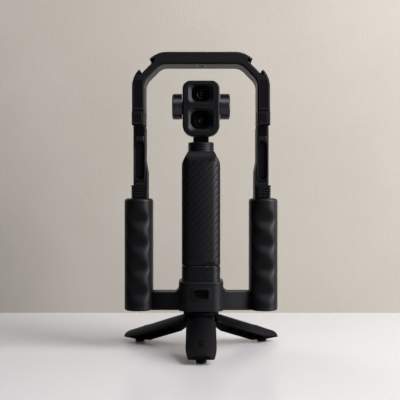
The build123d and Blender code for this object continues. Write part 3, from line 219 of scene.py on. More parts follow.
# one material for each material slot of the record
materials = {
    "frame_metal": surface("frame_metal", FRAME, FRAME_WORN, (.56, .64), .25, .010, spec=.16),
    "rail_metal": surface("rail_metal", (.006, .006, .0072), (.009, .009, .0105), (.30, .38), .3, .008,
                          metallic=0.4),
    "grip_rubber": surface("grip_rubber", RUBBER, RUBBER_WORN, (.42, .50), .45, .016, spec=.24),
    "cap_plastic": surface("cap_plastic", BLACK, INK, (.40, .50), .3, .015, spec=.28),
    "liner_plastic": surface("liner_plastic", GREY, GREY_WORN, (.40, .50), .3, .012, spec=.3),
    "tripod_plastic": surface("tripod_plastic", RUBBER, RUBBER_WORN, (.58, .68), .4, .02, spec=.09),
    "foot_rubber": surface("foot_rubber", (.0030, .0030, .0035), (.0045, .0045, .0052), (.6, .75), .5, .03,
                           spec=.2),
    "screw_steel": surface("screw_steel", (.16, .16, .165), (.24, .24, .245), (.28, .40), .2, .006,
                           metallic=1.0),
    "spring_steel": surface("spring_steel", (.06, .06, .065), (.10, .10, .105), (.30, .40), .2, .005,
                            metallic=1.0),
    "bush_brass": surface("bush_brass", (.52, .38, .17), (.62, .46, .22), (.25, .38), .2, .006, metallic=1.0),
    "camera_plastic": surface("camera_plastic", BLACK, INK, (.42, .50), .22, .010, spec=.24),
    "panel_rubber": surface("panel_rubber", RUBBER, RUBBER_WORN, (.44, .52), .25, .008, spec=.30,
                            crown=22.0, stripes=0.35),
    "motor_metal": surface("motor_metal", (.085, .082, .092), (.100, .097, .108), (.32, .40), .25, .004,
                           metallic=1.0),
    "bezel_plastic": surface("bezel_plastic", (.0050, .0047, .0062), (.0068, .0064, .0082), (.46, .54), .5,
                             .006, spec=.26),
    "barrel_plastic": surface("barrel_plastic", (.0003, .0003, .0004), (.0006, .0006, .0007), (.6, .7), .2,
                              .006, spec=.02),
    "lens_glass": glass_face("lens_glass", (.0006, .0020, .0012), .05, 0.2, (.25, 1.0, .55)),
    "display_glass": glass_face("display_glass", (.0020, .0020, .0026), .05),
    "button_plastic": surface("button_plastic", (.16, .010, .010), (.20, .014, .014), (.25, .32), .3, .004),
    "battery_wrap": surface("battery_wrap", (.05, .05, .055), (.07, .07, .08), (.45, .55), .3, .006),
    "board": surface("board", (.012, .05, .025), (.018, .07, .035), (.35, .45), .4, .006),
}
collar_metal = surface("collar_metal", FRAME, FRAME_WORN, (.46, .54), .25, .008, spec=.24, crown=14.0)
collar_plastic = surface("collar_plastic", RUBBER, RUBBER_WORN, (.38, .46), .25, .008, spec=.32,
                         crown=16.0, stripes=0.2)
# near-black for the charging socket: painted shade in its recess
port_shade_black = surface("port_shade_black", (.0012, .0012, .0014), (.0020, .0020, .0023), (.4, .5), .2, .004, spec=.12)
# near-black for the seams, which are dark joints between parts, and painted shade in holes, recesses and
# under the cuffs
seam_and_shade_black = surface("seam_and_shade_black", (.0008, .0008, .0010), (.0012, .0012, .0015), (.6, .7), .3, .004,
                       spec=.06)
# dark violet for the locks, cuff pads and leg inserts, and painted shade on the floors of the arm grooves
inlay_and_shade_black = surface("inlay_and_shade_black", (.0018, .0015, .0034), (.0026, .0022, .0046), (.45, .55), .2, .006,
                      spec=.14)
green_glass = glass_face("green_glass", (.0006, .0018, .0010), .08, 0.0, (.28, .80, .50))
yellow_glass = glass_face("yellow_glass", (.0002, .0004, .0001), .05, 0.0, (.10, .15, .03))
teal_glass = glass_face("teal_glass", (.0002, .0004, .0005), .07, 0.0, (.13, .22, .22))
# nodes that look a little different from the rest of their slot
own_finish = {
    "base_frame": collar_metal,
    "adapter": collar_plastic,
    # the socket darkened: painted shade in its recess
    "usb_port": port_shade_black,
    "pan_motor": materials["camera_plastic"],
    "lock_left": inlay_and_shade_black,
    "lock_right": inlay_and_shade_black,
    "leg_insert_left": inlay_and_shade_black,
    "leg_insert_right": inlay_and_shade_black,
}

for part in frame["record"]["subparts"]:
    mesh = nodes[part["node"]].data
    mesh.materials.clear()
    mesh.materials.append(own_finish.get(part["node"], materials[part["material_slot"]]))

# ---------------------------------------------------------------- shapes
SHARP = math.radians(32)     # edges sharper than this keep a crease
WELD = 1e-7                  # points nearer than this become one
TURN_STEPS = 64              # points round a turned piece
BEAD_STEPS = 10              # points round a bead


def middle(low, high):
    return (low + high) / 2


def build(name, body, slot, points, faces, finish=None, place=None):
    """A mesh piece with even normals and soft shading except over sharp edges. Without a finish of its own
    it has its slot's material; place moves it there from the frame's axes."""
    if place:
        points = [tuple(place @ Vector(point)) for point in points]
    mesh = bpy.data.meshes.new(name)
    mesh.from_pydata(points, [], faces)
    work = bmesh.new()
    work.from_mesh(mesh)
    bmesh.ops.remove_doubles(work, verts=work.verts, dist=WELD)
    bmesh.ops.recalc_face_normals(work, faces=work.faces)
    for face in work.faces:
        face.smooth = True
    for edge in work.edges:
        if len(edge.link_faces) == 2 and edge.calc_face_angle() > SHARP:
            edge.smooth = False
    work.to_mesh(mesh)
    work.free()
    mesh.materials.append(finish or materials[slot])
    made = bpy.data.objects.new(name, mesh)
    bpy.context.scene.collection.objects.link(made)
    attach(made, body)
    return made


def sides(rings, count, closed=False):
    """Faces between neighbouring rings of count points each; closed joins the last ring to the first."""
    faces = []
    for ring in range(rings if closed else rings - 1):
        other = (ring + 1) % rings
        for i in range(count):
            j = (i + 1) % count
            faces.append((ring * count + i, ring * count + j, other * count + j, other * count + i))
    return faces


def ends(rings, count):
    """The two faces that close a stack of rings."""
    return [tuple(range(count)), tuple(range((rings - 1) * count, rings * count))]


def rounded(centre, size, radius, steps=6):
    """Outline of a rounded rectangle, as (x, z) or (x, y) pairs."""
    outline = []
    for sx, sz, start in ((1, 1, 0), (-1, 1, 90), (-1, -1, 180), (1, -1, 270)):
        middle_x = centre[0] + sx * (size[0] / 2 - radius)
        middle_z = centre[1] + sz * (size[1] / 2 - radius)
        for i in range(steps + 1):
            angle = math.radians(start + 90 * i / steps)
            outline.append((middle_x + radius * math.cos(angle), middle_z + radius * math.sin(angle)))
    return outline


def grown(outline, out):
    """An outline stretched about its middle so that its sides move out, or in where out is negative."""
    count = len(outline)
    middle_x = sum(x for x, y in outline) / count
    middle_y = sum(y for x, y in outline) / count
    reach_x = max(abs(x - middle_x) for x, y in outline)
    reach_y = max(abs(y - middle_y) for x, y in outline)
    return [
        (middle_x + (x - middle_x) * (1 + out / reach_x), middle_y + (y - middle_y) * (1 + out / reach_y))
        for x, y in outline
    ]


def slab(name, body, slot, centre, size, corner, front_y, back_y, edge=0.0, finish=None, place=None):
    """A rounded rectangle in the XZ plane, filled from front_y to back_y, its front edge drawn in by edge."""
    outline = rounded(centre, size, corner)
    layers = [(back_y, 0), (front_y + edge, 0), (front_y, -edge)] if edge else [(back_y, 0), (front_y, 0)]
    points = [(x, y, z) for y, out in layers for x, z in grown(outline, out)]
    faces = ends(len(layers), len(outline)) + sides(len(layers), len(outline))
    return build(name, body, slot, points, faces, finish, place)


def lathe(name, body, slot, centre, axis, profile, finish=None):
    """A closed profile of (radius, distance along the axis) turned round an axis through the centre."""
    side = Vector((0, 0, 1)) if abs(axis[2]) < 0.5 else Vector((1, 0, 0))
    along = Vector(axis).normalized()
    across = along.cross(side).normalized()
    side = across.cross(along).normalized()
    points = []
    for radius, distance in profile:
        for i in range(TURN_STEPS):
            angle = 2 * math.pi * i / TURN_STEPS
            spoke = side * math.cos(angle) + across * math.sin(angle)
            points.append(tuple(Vector(centre) + along * distance + spoke * radius))
    return build(name, body, slot, points, sides(len(profile), TURN_STEPS, closed=True), finish)


def tube(name, body, slot, path, radius, closed=False):
    """A round bead along a path."""
    count = len(path)
    points = []
    for i, point in enumerate(path):
        before = Vector(path[i - 1 if closed or i else 0])
        after = Vector(path[(i + 1) % count if closed else min(i + 1, count - 1)])
        along = (after - before).normalized()
        side = along.cross(Vector((0, 0, 1)) if abs(along.z) < 0.9 else Vector((0, 1, 0))).normalized()
        up = side.cross(along)
        for j in range(BEAD_STEPS):
            angle = 2 * math.pi * j / BEAD_STEPS
            spoke = side * math.cos(angle) + up * math.sin(angle)
            points.append(tuple(Vector(point) + spoke * radius))
    faces = sides(count, BEAD_STEPS, closed)
    if not closed:
        faces += ends(count, BEAD_STEPS)
    return build(name, body, slot, points, faces)


SEAM_PROUD = .00003          # how far a seam stands out of the handle
SEAM_DEPTH = .0004           # how far it is let in


def seam(name, slot, size, corner, low, high):
    """A dark line round the camera's upright handle, between two levels."""
    outline = rounded((0, AXIS_Y), size, corner)
    rings = ((SEAM_PROUD, low), (SEAM_PROUD, high), (-SEAM_DEPTH, high), (-SEAM_DEPTH, low))
    points = [(x, y, z) for out, z in rings for x, y in grown(outline, out)]
    build(name, "cage", slot, points, sides(len(rings), len(outline), closed=True), seam_and_shade_black)


# ---------------------------------------------------------------- camera: pan motor and lenses
MOTOR_SEAMS = (0.32, 0.72)   # shares of the pan motor's height
MOTOR_SEAM_HALF = .00012
MOTOR_SEAM_PROUD = .00005
MOTOR_SEAM_DEPTH = .0003

pan_low, pan_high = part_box("pan_motor")
motor_radius = (pan_high.x - pan_low.x) / 2
seam_inside = motor_radius - MOTOR_SEAM_DEPTH
seam_outside = motor_radius + MOTOR_SEAM_PROUD
for index, share in enumerate(MOTOR_SEAMS):
    level = pan_low.z + (pan_high.z - pan_low.z) * share
    lathe(f"pan_motor_seam_{index + 1}", "cage", "motor_metal", (0, AXIS_Y, level), (0, 0, 1),
          [(seam_inside, -MOTOR_SEAM_HALF), (seam_outside, -MOTOR_SEAM_HALF),
           (seam_outside, MOTOR_SEAM_HALF), (seam_inside, MOTOR_SEAM_HALF)], seam_and_shade_black)

LENS_RIM = .30               # shares of a lens glass's depth, from its front
LENS_CROWN = .34
LENS_FLOOR = .72
LENS_LIP = .0002             # flat edge round the bowl
CORE_FIT = .97               # the core's radius as a share of its hole's
LENS_STEPS = 8
POINT = 1e-5                 # radius at the middle of a turned face


def lens(name, core_radius, bowl_finish, core_finish):
    """A coated lens in place of the plain glass: a hollow bowl with a domed element in the middle."""
    low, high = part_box(f"{name}_lens_glass")
    radius = (high.x - low.x) / 2
    centre = (middle(low.x, high.x), low.y, middle(low.z, high.z))
    depth = high.y - low.y
    rim = depth * LENS_RIM
    floor = depth * LENS_FLOOR
    crown = depth * LENS_CROWN
    bowl_radius = radius - LENS_LIP
    fitted = core_radius * CORE_FIT
    bowl = [(radius, depth), (radius, rim)]
    dome = []
    for i in range(LENS_STEPS + 1):
        angle = i / LENS_STEPS * math.pi / 2
        bowl.append((bowl_radius - (bowl_radius - core_radius) * math.sin(angle),
                     rim + (floor - rim) * (1 - math.cos(angle))))
        dome.append((max(fitted * math.sin(angle), POINT), crown + (floor - crown) * (1 - math.cos(angle))))
    bowl.append((core_radius, depth))
    dome += [(fitted, depth), (POINT, depth)]
    ring = lathe(f"{name}_lens_bowl", "head", "lens_glass", centre, (0, 1, 0), bowl, bowl_finish)
    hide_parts(f"{name}_lens_glass")
    lathe(f"{name}_lens_core", "head", "lens_glass", centre, (0, 1, 0), dome, core_finish)


UPPER_CORE = .0026
LOWER_CORE = .0014
lens("upper", UPPER_CORE, yellow_glass, green_glass)
lens("lower", LOWER_CORE, teal_glass, green_glass)

WINDOW_FRONT = .0009         # before the bezel's back
WINDOW_BACK = .0001
UPPER_WINDOW = ((.0147, .0131), .0042, .0060)        # size, corner, radius of its hole
LOWER_WINDOW = ((.0166, .0150), .0050, .0066)


def lens_window(name, size, corner, hole):
    """The black rounded-square plate round a lens, in the floor of its bezel."""
    glass_low, glass_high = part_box(f"{name}_lens_glass")
    z = middle(glass_low.z, glass_high.z)
    outer = rounded((0, z), size, corner)
    inner = []
    for x, level in outer:
        angle = math.atan2(level - z, x)
        inner.append((hole * math.cos(angle), z + hole * math.sin(angle)))
    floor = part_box(f"{name}_bezel")[1].y
    front = floor - WINDOW_FRONT
    back = floor - WINDOW_BACK
    rings = ((outer, front), (outer, back), (inner, back), (inner, front))
    points = [(x, y, level) for outline, y in rings for x, level in outline]
    build(f"{name}_window", "head", "barrel_plastic", points, sides(len(rings), len(outer), closed=True))


lens_window("upper", *UPPER_WINDOW)
lens_window("lower", *LOWER_WINDOW)

LENS_RING = [(.0037, 0), (.0043, 0), (.0045, .0006), (.0037, .0008)]
LENS_RING_PROUD = .0004
lower_low, lower_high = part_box("lower_lens_glass")
lathe("lower_lens_ring", "head", "bezel_plastic",
      (0, lower_low.y - LENS_RING_PROUD, middle(lower_low.z, lower_high.z)), (0, 1, 0), LENS_RING)

# ---------------------------------------------------------------- camera: shoulder and microphone
SHOULDER = (        # depth below the motor, half width, distance of the front from the main axis
    (.0190, .01640, .01370),
    (.0170, .01665, .01390),
    (.0125, .01665, .01390),
    (.0100, .01640, .01390),
    (.0082, .01590, .01388),
    (.0062, .01505, .01370),
    (.0042, .01390, .01320),
    (.0024, .01270, .01250),
    (.0010, .01170, .01190),
    (.0001, .01120, .01140),
)
SHOULDER_BACK = .0112        # behind the main axis, clear of the turning screen
SHOULDER_CORNER = .0085
SHOULDER_FLAT = .0005        # least flat that its corners leave on a side
SHOULDER_STEPS = 4           # rings between two levels
SHOULDER_CORNER_STEPS = 12


def shoulder():
    """The housing's full shoulder, from the upper part of the panel to the pan motor."""
    levels = []
    for lower, upper in zip(SHOULDER, SHOULDER[1:]):
        for step in range(SHOULDER_STEPS):
            levels.append([a + (b - a) * step / SHOULDER_STEPS for a, b in zip(lower, upper)])
    levels.append(SHOULDER[-1])
    points = []
    for drop, half_width, front in levels:
        depth = front + SHOULDER_BACK
        centre_y = AXIS_Y - (front - SHOULDER_BACK) / 2
        corner = min(SHOULDER_CORNER, half_width - SHOULDER_FLAT, depth / 2 - SHOULDER_FLAT)
        outline = rounded((0, centre_y), (2 * half_width, depth), corner, SHOULDER_CORNER_STEPS)
        points += [(x, y, pan_low.z - drop) for x, y in outline]
    count = len(points) // len(levels)
    build("shoulder", "cage", "camera_plastic", points, ends(len(levels), count) + sides(len(levels), count))


shoulder()

MICROPHONE_DROP = .0074      # from the panel's top
MICROPHONE_WIDTH = .00146
MICROPHONE_CORNER = .00072
MICROPHONE_FRONT = .00012    # both behind the panel's face
MICROPHONE_BACK = .0006
panel_low, panel_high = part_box("front_panel")
# a near-black plug in the microphone hole: painted shade
slab("microphone_hole_shade", "cage", "camera_plastic", (0, panel_high.z - MICROPHONE_DROP),
     (MICROPHONE_WIDTH, MICROPHONE_WIDTH), MICROPHONE_CORNER, panel_low.y + MICROPHONE_FRONT,
     panel_low.y + MICROPHONE_BACK, finish=seam_and_shade_black)

# ---------------------------------------------------------------- grips
SCALLOPS = 4
SCALLOP_PITCH = .0207
SCALLOP_FIRST = .0182        # from the grip's top to the middle of the first scallop
SCALLOP_DEPTH = .0032
SCALLOP_BLEND = .0036        # softness of the edge between a scallop and the round grip
SCALLOP_WIDENING = .8        # under 1, the scallops are wider than the ridges
RIDGE_CLEAR = .0012          # how far before the grip the scallops' wave starts
GRIP_TOP_ROUND = .0026
GRIP_SIDE_FLAT = .00005
GRIP_ROWS = 150
GRIP_CORNER_STEPS = 20


def grip(word):
    """A rubber grip whose finger scallops run softly into its rounded front."""
    low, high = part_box(f"grip_{word}")
    size = (high.x - low.x, high.y - low.y)
    centre = (middle(low.x, high.x), middle(low.y, high.y))
    outline = rounded((0, 0), size, size[0] / 2 - GRIP_SIDE_FLAT, GRIP_CORNER_STEPS)
    points = []
    for row in range(GRIP_ROWS + 1):
        z = low.z + (high.z - low.z) * row / GRIP_ROWS
        below = high.z - z
        inset = 0
        if below < GRIP_TOP_ROUND:
            inset = GRIP_TOP_ROUND - math.sqrt(GRIP_TOP_ROUND ** 2 - (GRIP_TOP_ROUND - below) ** 2)
        along = (below - SCALLOP_FIRST) / SCALLOP_PITCH
        dish = 0
        if -.5 < along < SCALLOPS - .5:
            dish = (.5 + .5 * math.cos(2 * math.pi * along)) ** SCALLOP_WIDENING
        limit = -size[1] / 2 - RIDGE_CLEAR + (SCALLOP_DEPTH + RIDGE_CLEAR) * dish
        for x, y in outline:
            x *= 1 - inset / (size[0] / 2)
            y *= 1 - inset / (size[1] / 2)
            if y < 0:
                overlap = max(SCALLOP_BLEND - abs(y - limit), 0) / SCALLOP_BLEND
                y = max(y, limit) + overlap ** 2 * SCALLOP_BLEND / 4
            points.append((centre[0] + x, centre[1] + y, z))
    faces = ends(GRIP_ROWS + 1, len(outline)) + sides(GRIP_ROWS + 1, len(outline))
    skin = build(f"grip_skin_{word}", "cage", "grip_rubber", points, faces)
    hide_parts(f"grip_{word}")


grip("left")
grip("right")

# ---------------------------------------------------------------- arms, locks and cuffs
LET_IN = .001                # how far a piece on a front face is let into it
GROOVE_SHIFT = .0010         # of the groove's middle from the rail's, towards the main axis

# a dark plate on the arm's front just under the cuff: painted shade where the cuff shades the arm
CUFF_SHADE_DROP = .0042          # from the arm's top to the middle of the painted shade under the cuff
CUFF_SHADE_SIZE = (.0070, .0078)
CUFF_SHADE_CORNER = .0006
CUFF_SHADE_PROUD = .00015

LATCH_DROP = .0103           # from the arm's top to the latch's middle
LATCH_SIZE = (.0072, .0040)
LATCH_CORNER = .0010
LATCH_PROUD = .0005
LATCH_EDGE = .0004

GROOVE_RISE = .0028          # from the lock's top to the groove's foot
GROOVE_CORNER = .0018
GROOVE_BACK = .0024          # behind the arm's front, as are the two depths
GROOVE_MIDDLE = .0172        # above the groove's foot, as are the next two levels
GROOVE_SIZE = (.0072, .0336)
GROOVE_DEPTH = .0018
FOOT_MIDDLE = .0026
FOOT_SIZE = (.0072, .0046)
FOOT_DEPTH = .0012

LIP_MIDDLE = .0053
LIP_TOP = .0300              # above the groove's foot too
LIP_RADIUS = .0043           # of the bend round the groove's foot
LIP_SUNK = .0001             # of the bead's middle behind the arm's front
LIP_BEAD = .00055            # the bead's radius
LIP_STEPS = 12

RIBS = 4
RIB_FIRST = .0020            # from the lock's foot to the middle of the first rib
RIB_PITCH = .0023
RIB_SIZE = (.0094, .0009)
RIB_CORNER = .0004
RIB_PROUD = .0002
RIB_EDGE = .0002

CUFF_PAD_RISE = .0004        # above the cuff's middle
CUFF_PAD_SIZE = (.0056, .0078)
CUFF_PAD_PROUD = .00025
CUFF_PAD_EDGE = .0002
CUFF_LIP_RISE = .0017        # above the cuff's foot
CUFF_LIP_SIZE = (.0094, .0018)
CUFF_LIP_PROUD = .0005
CUFF_LIP_EDGE = .0004
CUFF_CORNER = .0008


def arm_details(word, x):
    """The painted shade and the latch under the cuff, and the long groove with its lip, its floor and foot
    darkened as painted shade, centred on x.
    """
    arm_low, arm_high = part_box(f"arm_{word}")
    front = arm_low.y
    # a near-black plate under the cuff: painted shade
    slab(f"arm_cuff_shade_{word}", "cage", "frame_metal", (x, arm_high.z - CUFF_SHADE_DROP), CUFF_SHADE_SIZE,
         CUFF_SHADE_CORNER, front - CUFF_SHADE_PROUD, front + LET_IN, finish=seam_and_shade_black)
    slab(f"arm_latch_{word}", "cage", "cap_plastic", (x, arm_high.z - LATCH_DROP), LATCH_SIZE,
         LATCH_CORNER, front - LATCH_PROUD, front + LET_IN, LATCH_EDGE)
    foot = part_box(f"lock_{word}")[1].z + GROOVE_RISE
    # a darker plate on the groove's floor: painted shade in the recess
    slab(f"groove_floor_shade_{word}", "cage", "frame_metal", (x, foot + GROOVE_MIDDLE), GROOVE_SIZE,
         GROOVE_CORNER, front + GROOVE_DEPTH, front + GROOVE_BACK, finish=inlay_and_shade_black)
    # a near-black plate at the groove's foot: painted shade
    slab(f"groove_foot_shade_{word}", "cage", "frame_metal", (x, foot + FOOT_MIDDLE), FOOT_SIZE,
         GROOVE_CORNER, front + FOOT_DEPTH, front + GROOVE_BACK, finish=seam_and_shade_black)
    lip_y = front + LIP_SUNK
    lip = [(x + LIP_RADIUS, lip_y, foot + LIP_TOP)]
    for i in range(LIP_STEPS + 1):
        angle = math.pi * i / LIP_STEPS
        level = foot + LIP_MIDDLE - LIP_RADIUS * math.sin(angle)
        lip.append((x + LIP_RADIUS * math.cos(angle), lip_y, level))
    lip.append((x - LIP_RADIUS, lip_y, foot + LIP_TOP))
    tube(f"groove_lip_{word}", "cage", "frame_metal", lip, LIP_BEAD)


def lock_ribs(word):
    """The ribs across a lock's face."""
    low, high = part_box(f"lock_{word}")
    for index in range(RIBS):
        slab(f"lock_rib_{word}_{index + 1}", f"lock_{word}", "cap_plastic",
             (middle(low.x, high.x), low.z + RIB_FIRST + RIB_PITCH * index), RIB_SIZE, RIB_CORNER,
             low.y - RIB_PROUD, low.y + LET_IN, RIB_EDGE, finish=materials["frame_metal"])


def cuff_details(word, pad_x):
    """The inset pad on a cuff's front, and its rounded lower lip."""
    low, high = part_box(f"cuff_{word}")
    slab(f"cuff_pad_{word}", "bridge", "cap_plastic", (pad_x, middle(low.z, high.z) + CUFF_PAD_RISE),
         CUFF_PAD_SIZE, CUFF_CORNER, low.y - CUFF_PAD_PROUD, low.y + LET_IN, CUFF_PAD_EDGE,
         finish=inlay_and_shade_black)
    slab(f"cuff_lip_{word}", "bridge", "frame_metal", (middle(low.x, high.x), low.z + CUFF_LIP_RISE),
         CUFF_LIP_SIZE, CUFF_CORNER, low.y - CUFF_LIP_PROUD, low.y + LET_IN, CUFF_LIP_EDGE)


for side, word in ((1, "right"), (-1, "left")):
    rail_low, rail_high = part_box(f"rail_{word}")
    rail_x = middle(rail_low.x, rail_high.x)
    arm_details(word, rail_x - side * GROOVE_SHIFT)
    lock_ribs(word)
    cuff_details(word, rail_x)

# ---------------------------------------------------------------- collar, adapter and charging socket
COLLAR_SIZE = (.0380, .0352)
COLLAR_CORNER = .0083
COLLAR_SEAM = (.00270, .00245)       # both below the collar's top
ADAPTER_CORNER = .0069
ADAPTER_SEAMS = (.0018, .0032)       # below the adapter's top
ADAPTER_SEAM_HEIGHT = .0002

collar_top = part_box("base_frame")[1].z
seam("collar_seam", "frame_metal", COLLAR_SIZE, COLLAR_CORNER, collar_top - COLLAR_SEAM[0],
     collar_top - COLLAR_SEAM[1])
adapter_low, adapter_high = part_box("adapter")
adapter_size = (adapter_high.x - adapter_low.x, adapter_high.y - adapter_low.y)
for index, drop in enumerate(ADAPTER_SEAMS):
    top = adapter_high.z - drop
    seam(f"adapter_seam_{index + 1}", "camera_plastic", adapter_size, ADAPTER_CORNER,
         top - ADAPTER_SEAM_HEIGHT, top)

PORT_FLOOR_SIZE = (.0102, .0048)
PORT_FLOOR_CORNER = .0013
PORT_FLOOR_PROUD = .00025
PORT_FLOOR_SUNK = .0002
PORT_TONGUE_SIZE = (.0068, .0011)
PORT_TONGUE_CORNER = .0004
PORT_TONGUE_PROUD = .0007
PORT_EDGE_SIZE = (.0098, .0044)
PORT_EDGE_CORNER = .0019
PORT_EDGE_PROUD = .0004
PORT_EDGE_BEAD = .00022

port_low, port_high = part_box("usb_port")
port_middle = (0, middle(port_low.z, port_high.z))
# a dark plate over the socket: painted shade in its recess
slab("port_floor_shade", "cage", "camera_plastic", port_middle, PORT_FLOOR_SIZE, PORT_FLOOR_CORNER,
     port_low.y - PORT_FLOOR_PROUD, port_low.y + PORT_FLOOR_SUNK, finish=port_shade_black)
slab("port_tongue", "cage", "camera_plastic", port_middle, PORT_TONGUE_SIZE, PORT_TONGUE_CORNER,
     port_low.y - PORT_TONGUE_PROUD, port_low.y)
port_edge = rounded(port_middle, PORT_EDGE_SIZE, PORT_EDGE_CORNER)
tube("port_edge", "cage", "camera_plastic", [(x, port_low.y - PORT_EDGE_PROUD, z) for x, z in port_edge],
     PORT_EDGE_BEAD, closed=True)

# ---------------------------------------------------------------- tripod: clamping screws in the legs
LEG_SLOPE = math.radians(18.6)
WELL_REACH = .0510           # from a leg's pin out to its clamping screw
LEG_HALF = .0058             # from the pin up to the leg's outer face
PIN_PLACE = .0090            # from the main axis to a leg's pin

WELL_SIZE = (.0044, .0110)
WELL_CORNER = .0021
WELL_PROUD = .00004
WELL_BACK = .0014
SCREW_RISE = .0012           # from the well's middle towards the pin
SCREW_SIZE = (.0020, .0030)
SCREW_CORNER = .0009
SCREW_PROUD = .0003
PEG_REACH = .0034            # from the well's middle to the small pegs beside it
PEG_SIZE = (.0012, .0012)
PEG_CORNER = .00059
PEG_PROUD = .00005
CLAMP_BACK = .0012
CLAMP_EDGE = .0002

pins_low, pins_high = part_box("hinge_pins")
pivot = Vector((0, AXIS_Y, middle(pins_low.z, pins_high.z)))


def leg_face(turn):
    """The outer face of the open leg at that turn: local x runs across it, z to the pin, -y out of it."""
    outward = Vector((math.cos(math.radians(turn)), math.sin(math.radians(turn)), 0))
    along = outward * math.cos(LEG_SLOPE) - Vector((0, 0, math.sin(LEG_SLOPE)))
    face = outward * math.sin(LEG_SLOPE) + Vector((0, 0, math.cos(LEG_SLOPE)))
    across = along.cross(face)
    start = pivot + outward * PIN_PLACE + along * WELL_REACH + face * LEG_HALF
    return Matrix((
        (across.x, -face.x, -along.x, start.x),
        (across.y, -face.y, -along.y, start.y),
        (across.z, -face.z, -along.z, start.z),
        (0, 0, 0, 1),
    ))


for word, turn in (("front", -90), ("right", 30), ("left", 150)):
    body = f"leg_{word}"
    place = leg_face(turn)
    # a near-black plate over the screw's well: painted shade in the well
    slab(f"clamp_well_shade_{word}", body, "tripod_plastic", (0, 0), WELL_SIZE, WELL_CORNER,
         -WELL_PROUD, WELL_BACK, finish=seam_and_shade_black, place=place)
    slab(f"clamp_screw_{word}", body, "tripod_plastic", (0, SCREW_RISE), SCREW_SIZE, SCREW_CORNER,
         -SCREW_PROUD, CLAMP_BACK, CLAMP_EDGE, place=place)
    for end, end_word in ((1, "right"), (-1, "left")):
        slab(f"clamp_pin_{word}_{end_word}", body, "rail_metal", (end * PEG_REACH, 0), PEG_SIZE, PEG_CORNER,
             -PEG_PROUD, CLAMP_BACK, CLAMP_EDGE, place=place)


# ---------------------------------------------------------------- stage and lights
def plain(name, corners, material):
    """One flat face of the backdrop."""
    mesh = bpy.data.meshes.new(name)
    mesh.from_pydata(corners, [], [tuple(range(len(corners)))])
    mesh.materials.append(material)
    made = bpy.data.objects.new(name, mesh)
    bpy.context.scene.collection.objects.link(made)


def paler_to_camera(material, pale):
    """Show the camera a paler colour than the one that lights the object from below."""
    tree = material.node_tree
    shader = tree.nodes["Principled BSDF"]
    shade = shader.inputs["Base Color"].links[0].from_socket
    mix = tree.nodes.new("ShaderNodeMix")
    mix.data_type = "RGBA"
    mix.inputs["B"].default_value = (*pale, 1)
    tree.links.new(tree.nodes.new("ShaderNodeLightPath").outputs["Is Camera Ray"], mix.inputs["Factor"])
    tree.links.new(shade, mix.inputs["A"])
    tree.links.new(mix.outputs["Result"], shader.inputs["Base Color"])


def one_sided(material):
    """Leave out a backdrop seen from behind, and let the lamps shine through it."""
    tree = material.node_tree
    shader = tree.nodes["Principled BSDF"]
    output = tree.nodes["Material Output"]
    either = tree.nodes.new("ShaderNodeMath")
    either.operation = "MAXIMUM"
    tree.links.new(tree.nodes.new("ShaderNodeNewGeometry").outputs["Backfacing"], either.inputs[0])
    tree.links.new(tree.nodes.new("ShaderNodeLightPath").outputs["Is Shadow Ray"], either.inputs[1])
    mix = tree.nodes.new("ShaderNodeMixShader")
    tree.links.new(either.outputs["Value"], mix.inputs["Fac"])
    tree.links.new(shader.outputs["BSDF"], mix.inputs[1])
    tree.links.new(tree.nodes.new("ShaderNodeBsdfTransparent").outputs["BSDF"], mix.inputs[2])
    tree.links.new(mix.outputs["Shader"], output.inputs["Surface"])


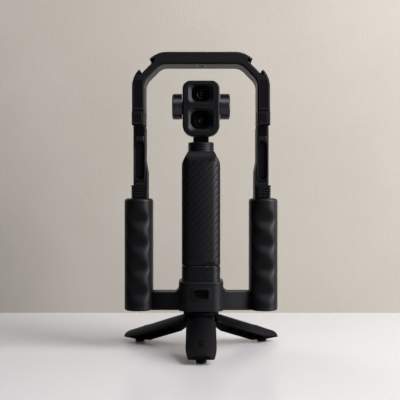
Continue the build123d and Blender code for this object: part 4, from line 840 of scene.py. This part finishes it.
WALL_DISTANCE = 0.205        # behind the main axis
WALL_Y = AXIS_Y + WALL_DISTANCE
REACH = 3.0                  # how far the floor and the wall run
TABLE_SEEN = (.60, .60, .605)
table_top = surface("table_top", (.20, .20, .202), (.22, .22, .222), (.20, .26), 3.0, 0, mottle=160.0)
paler_to_camera(table_top, TABLE_SEEN)
plaster = surface("plaster", (.535, .500, .435), (.565, .53, .465), (.8, .9), 2.2, .25, mottle=120.0, spec=.2)
one_sided(plaster)
floor_corners = [(-REACH, -REACH, 0), (REACH, -REACH, 0), (REACH, REACH, 0), (-REACH, REACH, 0)]
wall_corners = [(-REACH, WALL_Y, 0), (REACH, WALL_Y, 0), (REACH, WALL_Y, REACH), (-REACH, WALL_Y, REACH)]
plain("floor", floor_corners, table_top)
plain("wall", wall_corners, plaster)


def lamp(name, place, aim, size, power, colour):
    """A rectangular area lamp that shines at the point aim."""
    data = bpy.data.lights.new(name, "AREA")
    data.shape = "RECTANGLE"
    data.size, data.size_y = size
    data.energy = power
    data.color = colour
    made = bpy.data.objects.new(name, data)
    made.location = place
    made.rotation_euler = (Vector(aim) - Vector(place)).to_track_quat("-Z", "Y").to_euler()
    bpy.context.scene.collection.objects.link(made)


WINDOW_LIGHT = (0.985, 0.970, 1.0)
BACK_LIGHT = (0.98, 0.99, 1.0)
LAMPS = (        # name, place, aim, size, power, colour
    ("key", (1.25, -0.50, 0.86), (0, 0, 0.16), (1.0, 1.5), 54.0, WINDOW_LIGHT),
    ("top", (0.15, -0.75, 1.05), (0, 0, 0.20), (0.4, 0.4), 2.0, WINDOW_LIGHT),
    ("back", (-0.80, 1.10, 1.00), (0, 0, 0.12), (0.8, 0.8), 7.0, BACK_LIGHT),
)
for values in LAMPS:
    lamp(*values)

# a little light from all round, and a pale ground where the camera sees past the stage
AMBIENT = (1.0, 0.99, 0.98)
AMBIENT_STRENGTH = 0.05
PALE_GROUND = (.58, .55, .51)
world = bpy.data.worlds.new("world")
bpy.context.scene.world = world
world.use_nodes = True
ambient = world.node_tree.nodes["Background"]
ambient.inputs["Color"].default_value = (*AMBIENT, 1)
ambient.inputs["Strength"].default_value = AMBIENT_STRENGTH
backdrop = world.node_tree.nodes.new("ShaderNodeBackground")
backdrop.inputs["Color"].default_value = (*PALE_GROUND, 1)
choice = world.node_tree.nodes.new("ShaderNodeMixShader")
to_camera = world.node_tree.nodes.new("ShaderNodeLightPath").outputs["Is Camera Ray"]
world.node_tree.links.new(to_camera, choice.inputs["Fac"])
world.node_tree.links.new(ambient.outputs["Background"], choice.inputs[1])
world.node_tree.links.new(backdrop.outputs["Background"], choice.inputs[2])
world.node_tree.links.new(choice.outputs["Shader"], world.node_tree.nodes["World Output"].inputs["Surface"])
